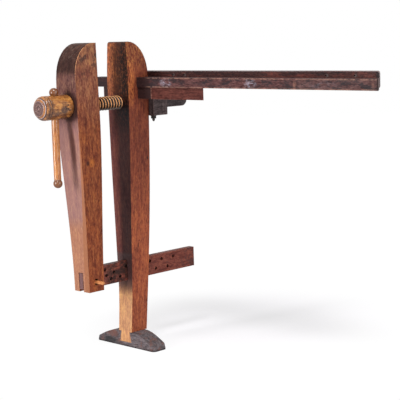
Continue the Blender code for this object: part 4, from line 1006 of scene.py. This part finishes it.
SHADOW_SPOT = (0.44, -0.06, 0.0)
SHADOW_CORE = 0.18
SHADOW_REACH = 0.58
floor_away = floor_nodes.new("ShaderNodeVectorMath")
floor_away.operation = "DISTANCE"
feed(floor_away.inputs[0], floor_nodes.new("ShaderNodeTexCoord").outputs["Object"])
feed(floor_away.inputs[1], SHADOW_SPOT)
from_shadow = floor_away.outputs["Value"]
floor_share = spread(from_shadow, SHADOW_CORE, SHADOW_REACH, 0.50, 1.0, "SMOOTHSTEP")
floor_matt = floor_nodes["Principled BSDF"]
floor_matt.inputs["Base Color"].default_value = (0.94, 0.91, 0.96, 1.0)
floor_matt.inputs["Roughness"].default_value = 0.9
floor_matt.inputs["Specular IOR Level"].default_value = 0.0
floor_glow = floor_nodes.new("ShaderNodeEmission")
glow_strength = spread(from_shadow, SHADOW_CORE, SHADOW_REACH, 1.20, 1.01, "SMOOTHSTEP")
feed(floor_glow.inputs["Strength"], glow_strength)
floor_mix = floor_nodes.new("ShaderNodeMixShader")
feed(floor_mix.inputs[0], both(seen_directly(floor_paint.node_tree), floor_share))
feed(floor_mix.inputs[1], floor_matt.outputs[0])
feed(floor_mix.inputs[2], floor_glow.outputs[0])
feed(floor_nodes["Material Output"].inputs["Surface"], floor_mix.outputs[0])
floor_mesh.materials.append(floor_paint)

AMBIENT = 0.16
surroundings = bpy.data.worlds.new("studio")
surroundings.use_nodes = True
bpy.context.scene.world = surroundings
air = surroundings.node_tree
air.nodes["Background"].inputs["Color"].default_value = (1.0, 1.0, 1.0, 1.0)
feed(air.nodes["Background"].inputs["Strength"], spread(seen_directly(air), 0.0, 1.0, AMBIENT, 1.0))

AIM = Vector((-0.02, -0.15, 0.48))


def softbox(name, spot, width, height, power):
    lamp = bpy.data.lights.new(name, "AREA")
    lamp.shape = "RECTANGLE"
    lamp.size = width
    lamp.size_y = height
    lamp.energy = power
    holder = bpy.data.objects.new(name, lamp)
    holder.location = spot
    holder.rotation_mode = "QUATERNION"
    holder.rotation_quaternion = (AIM - Vector(spot)).to_track_quat("-Z", "Y")
    bpy.context.scene.collection.objects.link(holder)


softbox("left_lamp", (-2.80, 0.50, 0.95), 0.50, 1.60, 56.0)
softbox("right_lamp", (0.55, -3.20, 1.45), 1.60, 1.60, 40.0)
softbox("high_lamp", (-1.24, -1.05, 3.08), 0.70, 0.70, 54.0)
softbox("bar_strip", (-0.31, -2.60, 0.42), 0.10, 0.80, 4.5)

EYE = (-2.25646, -2.5123, 0.8828)
HEADING = radians(-45.63)
TILT = radians(90.0 - 7.94)
ROLL = radians(-1.743)
lens = bpy.data.cameras.new("camera")
lens.sensor_fit = "HORIZONTAL"
lens.sensor_width = 36.0
lens.lens = 109.084
camera = bpy.data.objects.new("camera", lens)
camera.matrix_world = (Matrix.Translation(EYE) @ Matrix.Rotation(HEADING, 4, "Z")
                       @ Matrix.Rotation(TILT, 4, "X") @ Matrix.Rotation(ROLL, 4, "Z"))
bpy.context.scene.collection.objects.link(camera)
bpy.context.scene.camera = camera
bpy.context.scene.view_settings.view_transform = "Standard"

bpy.context.view_layer.update()
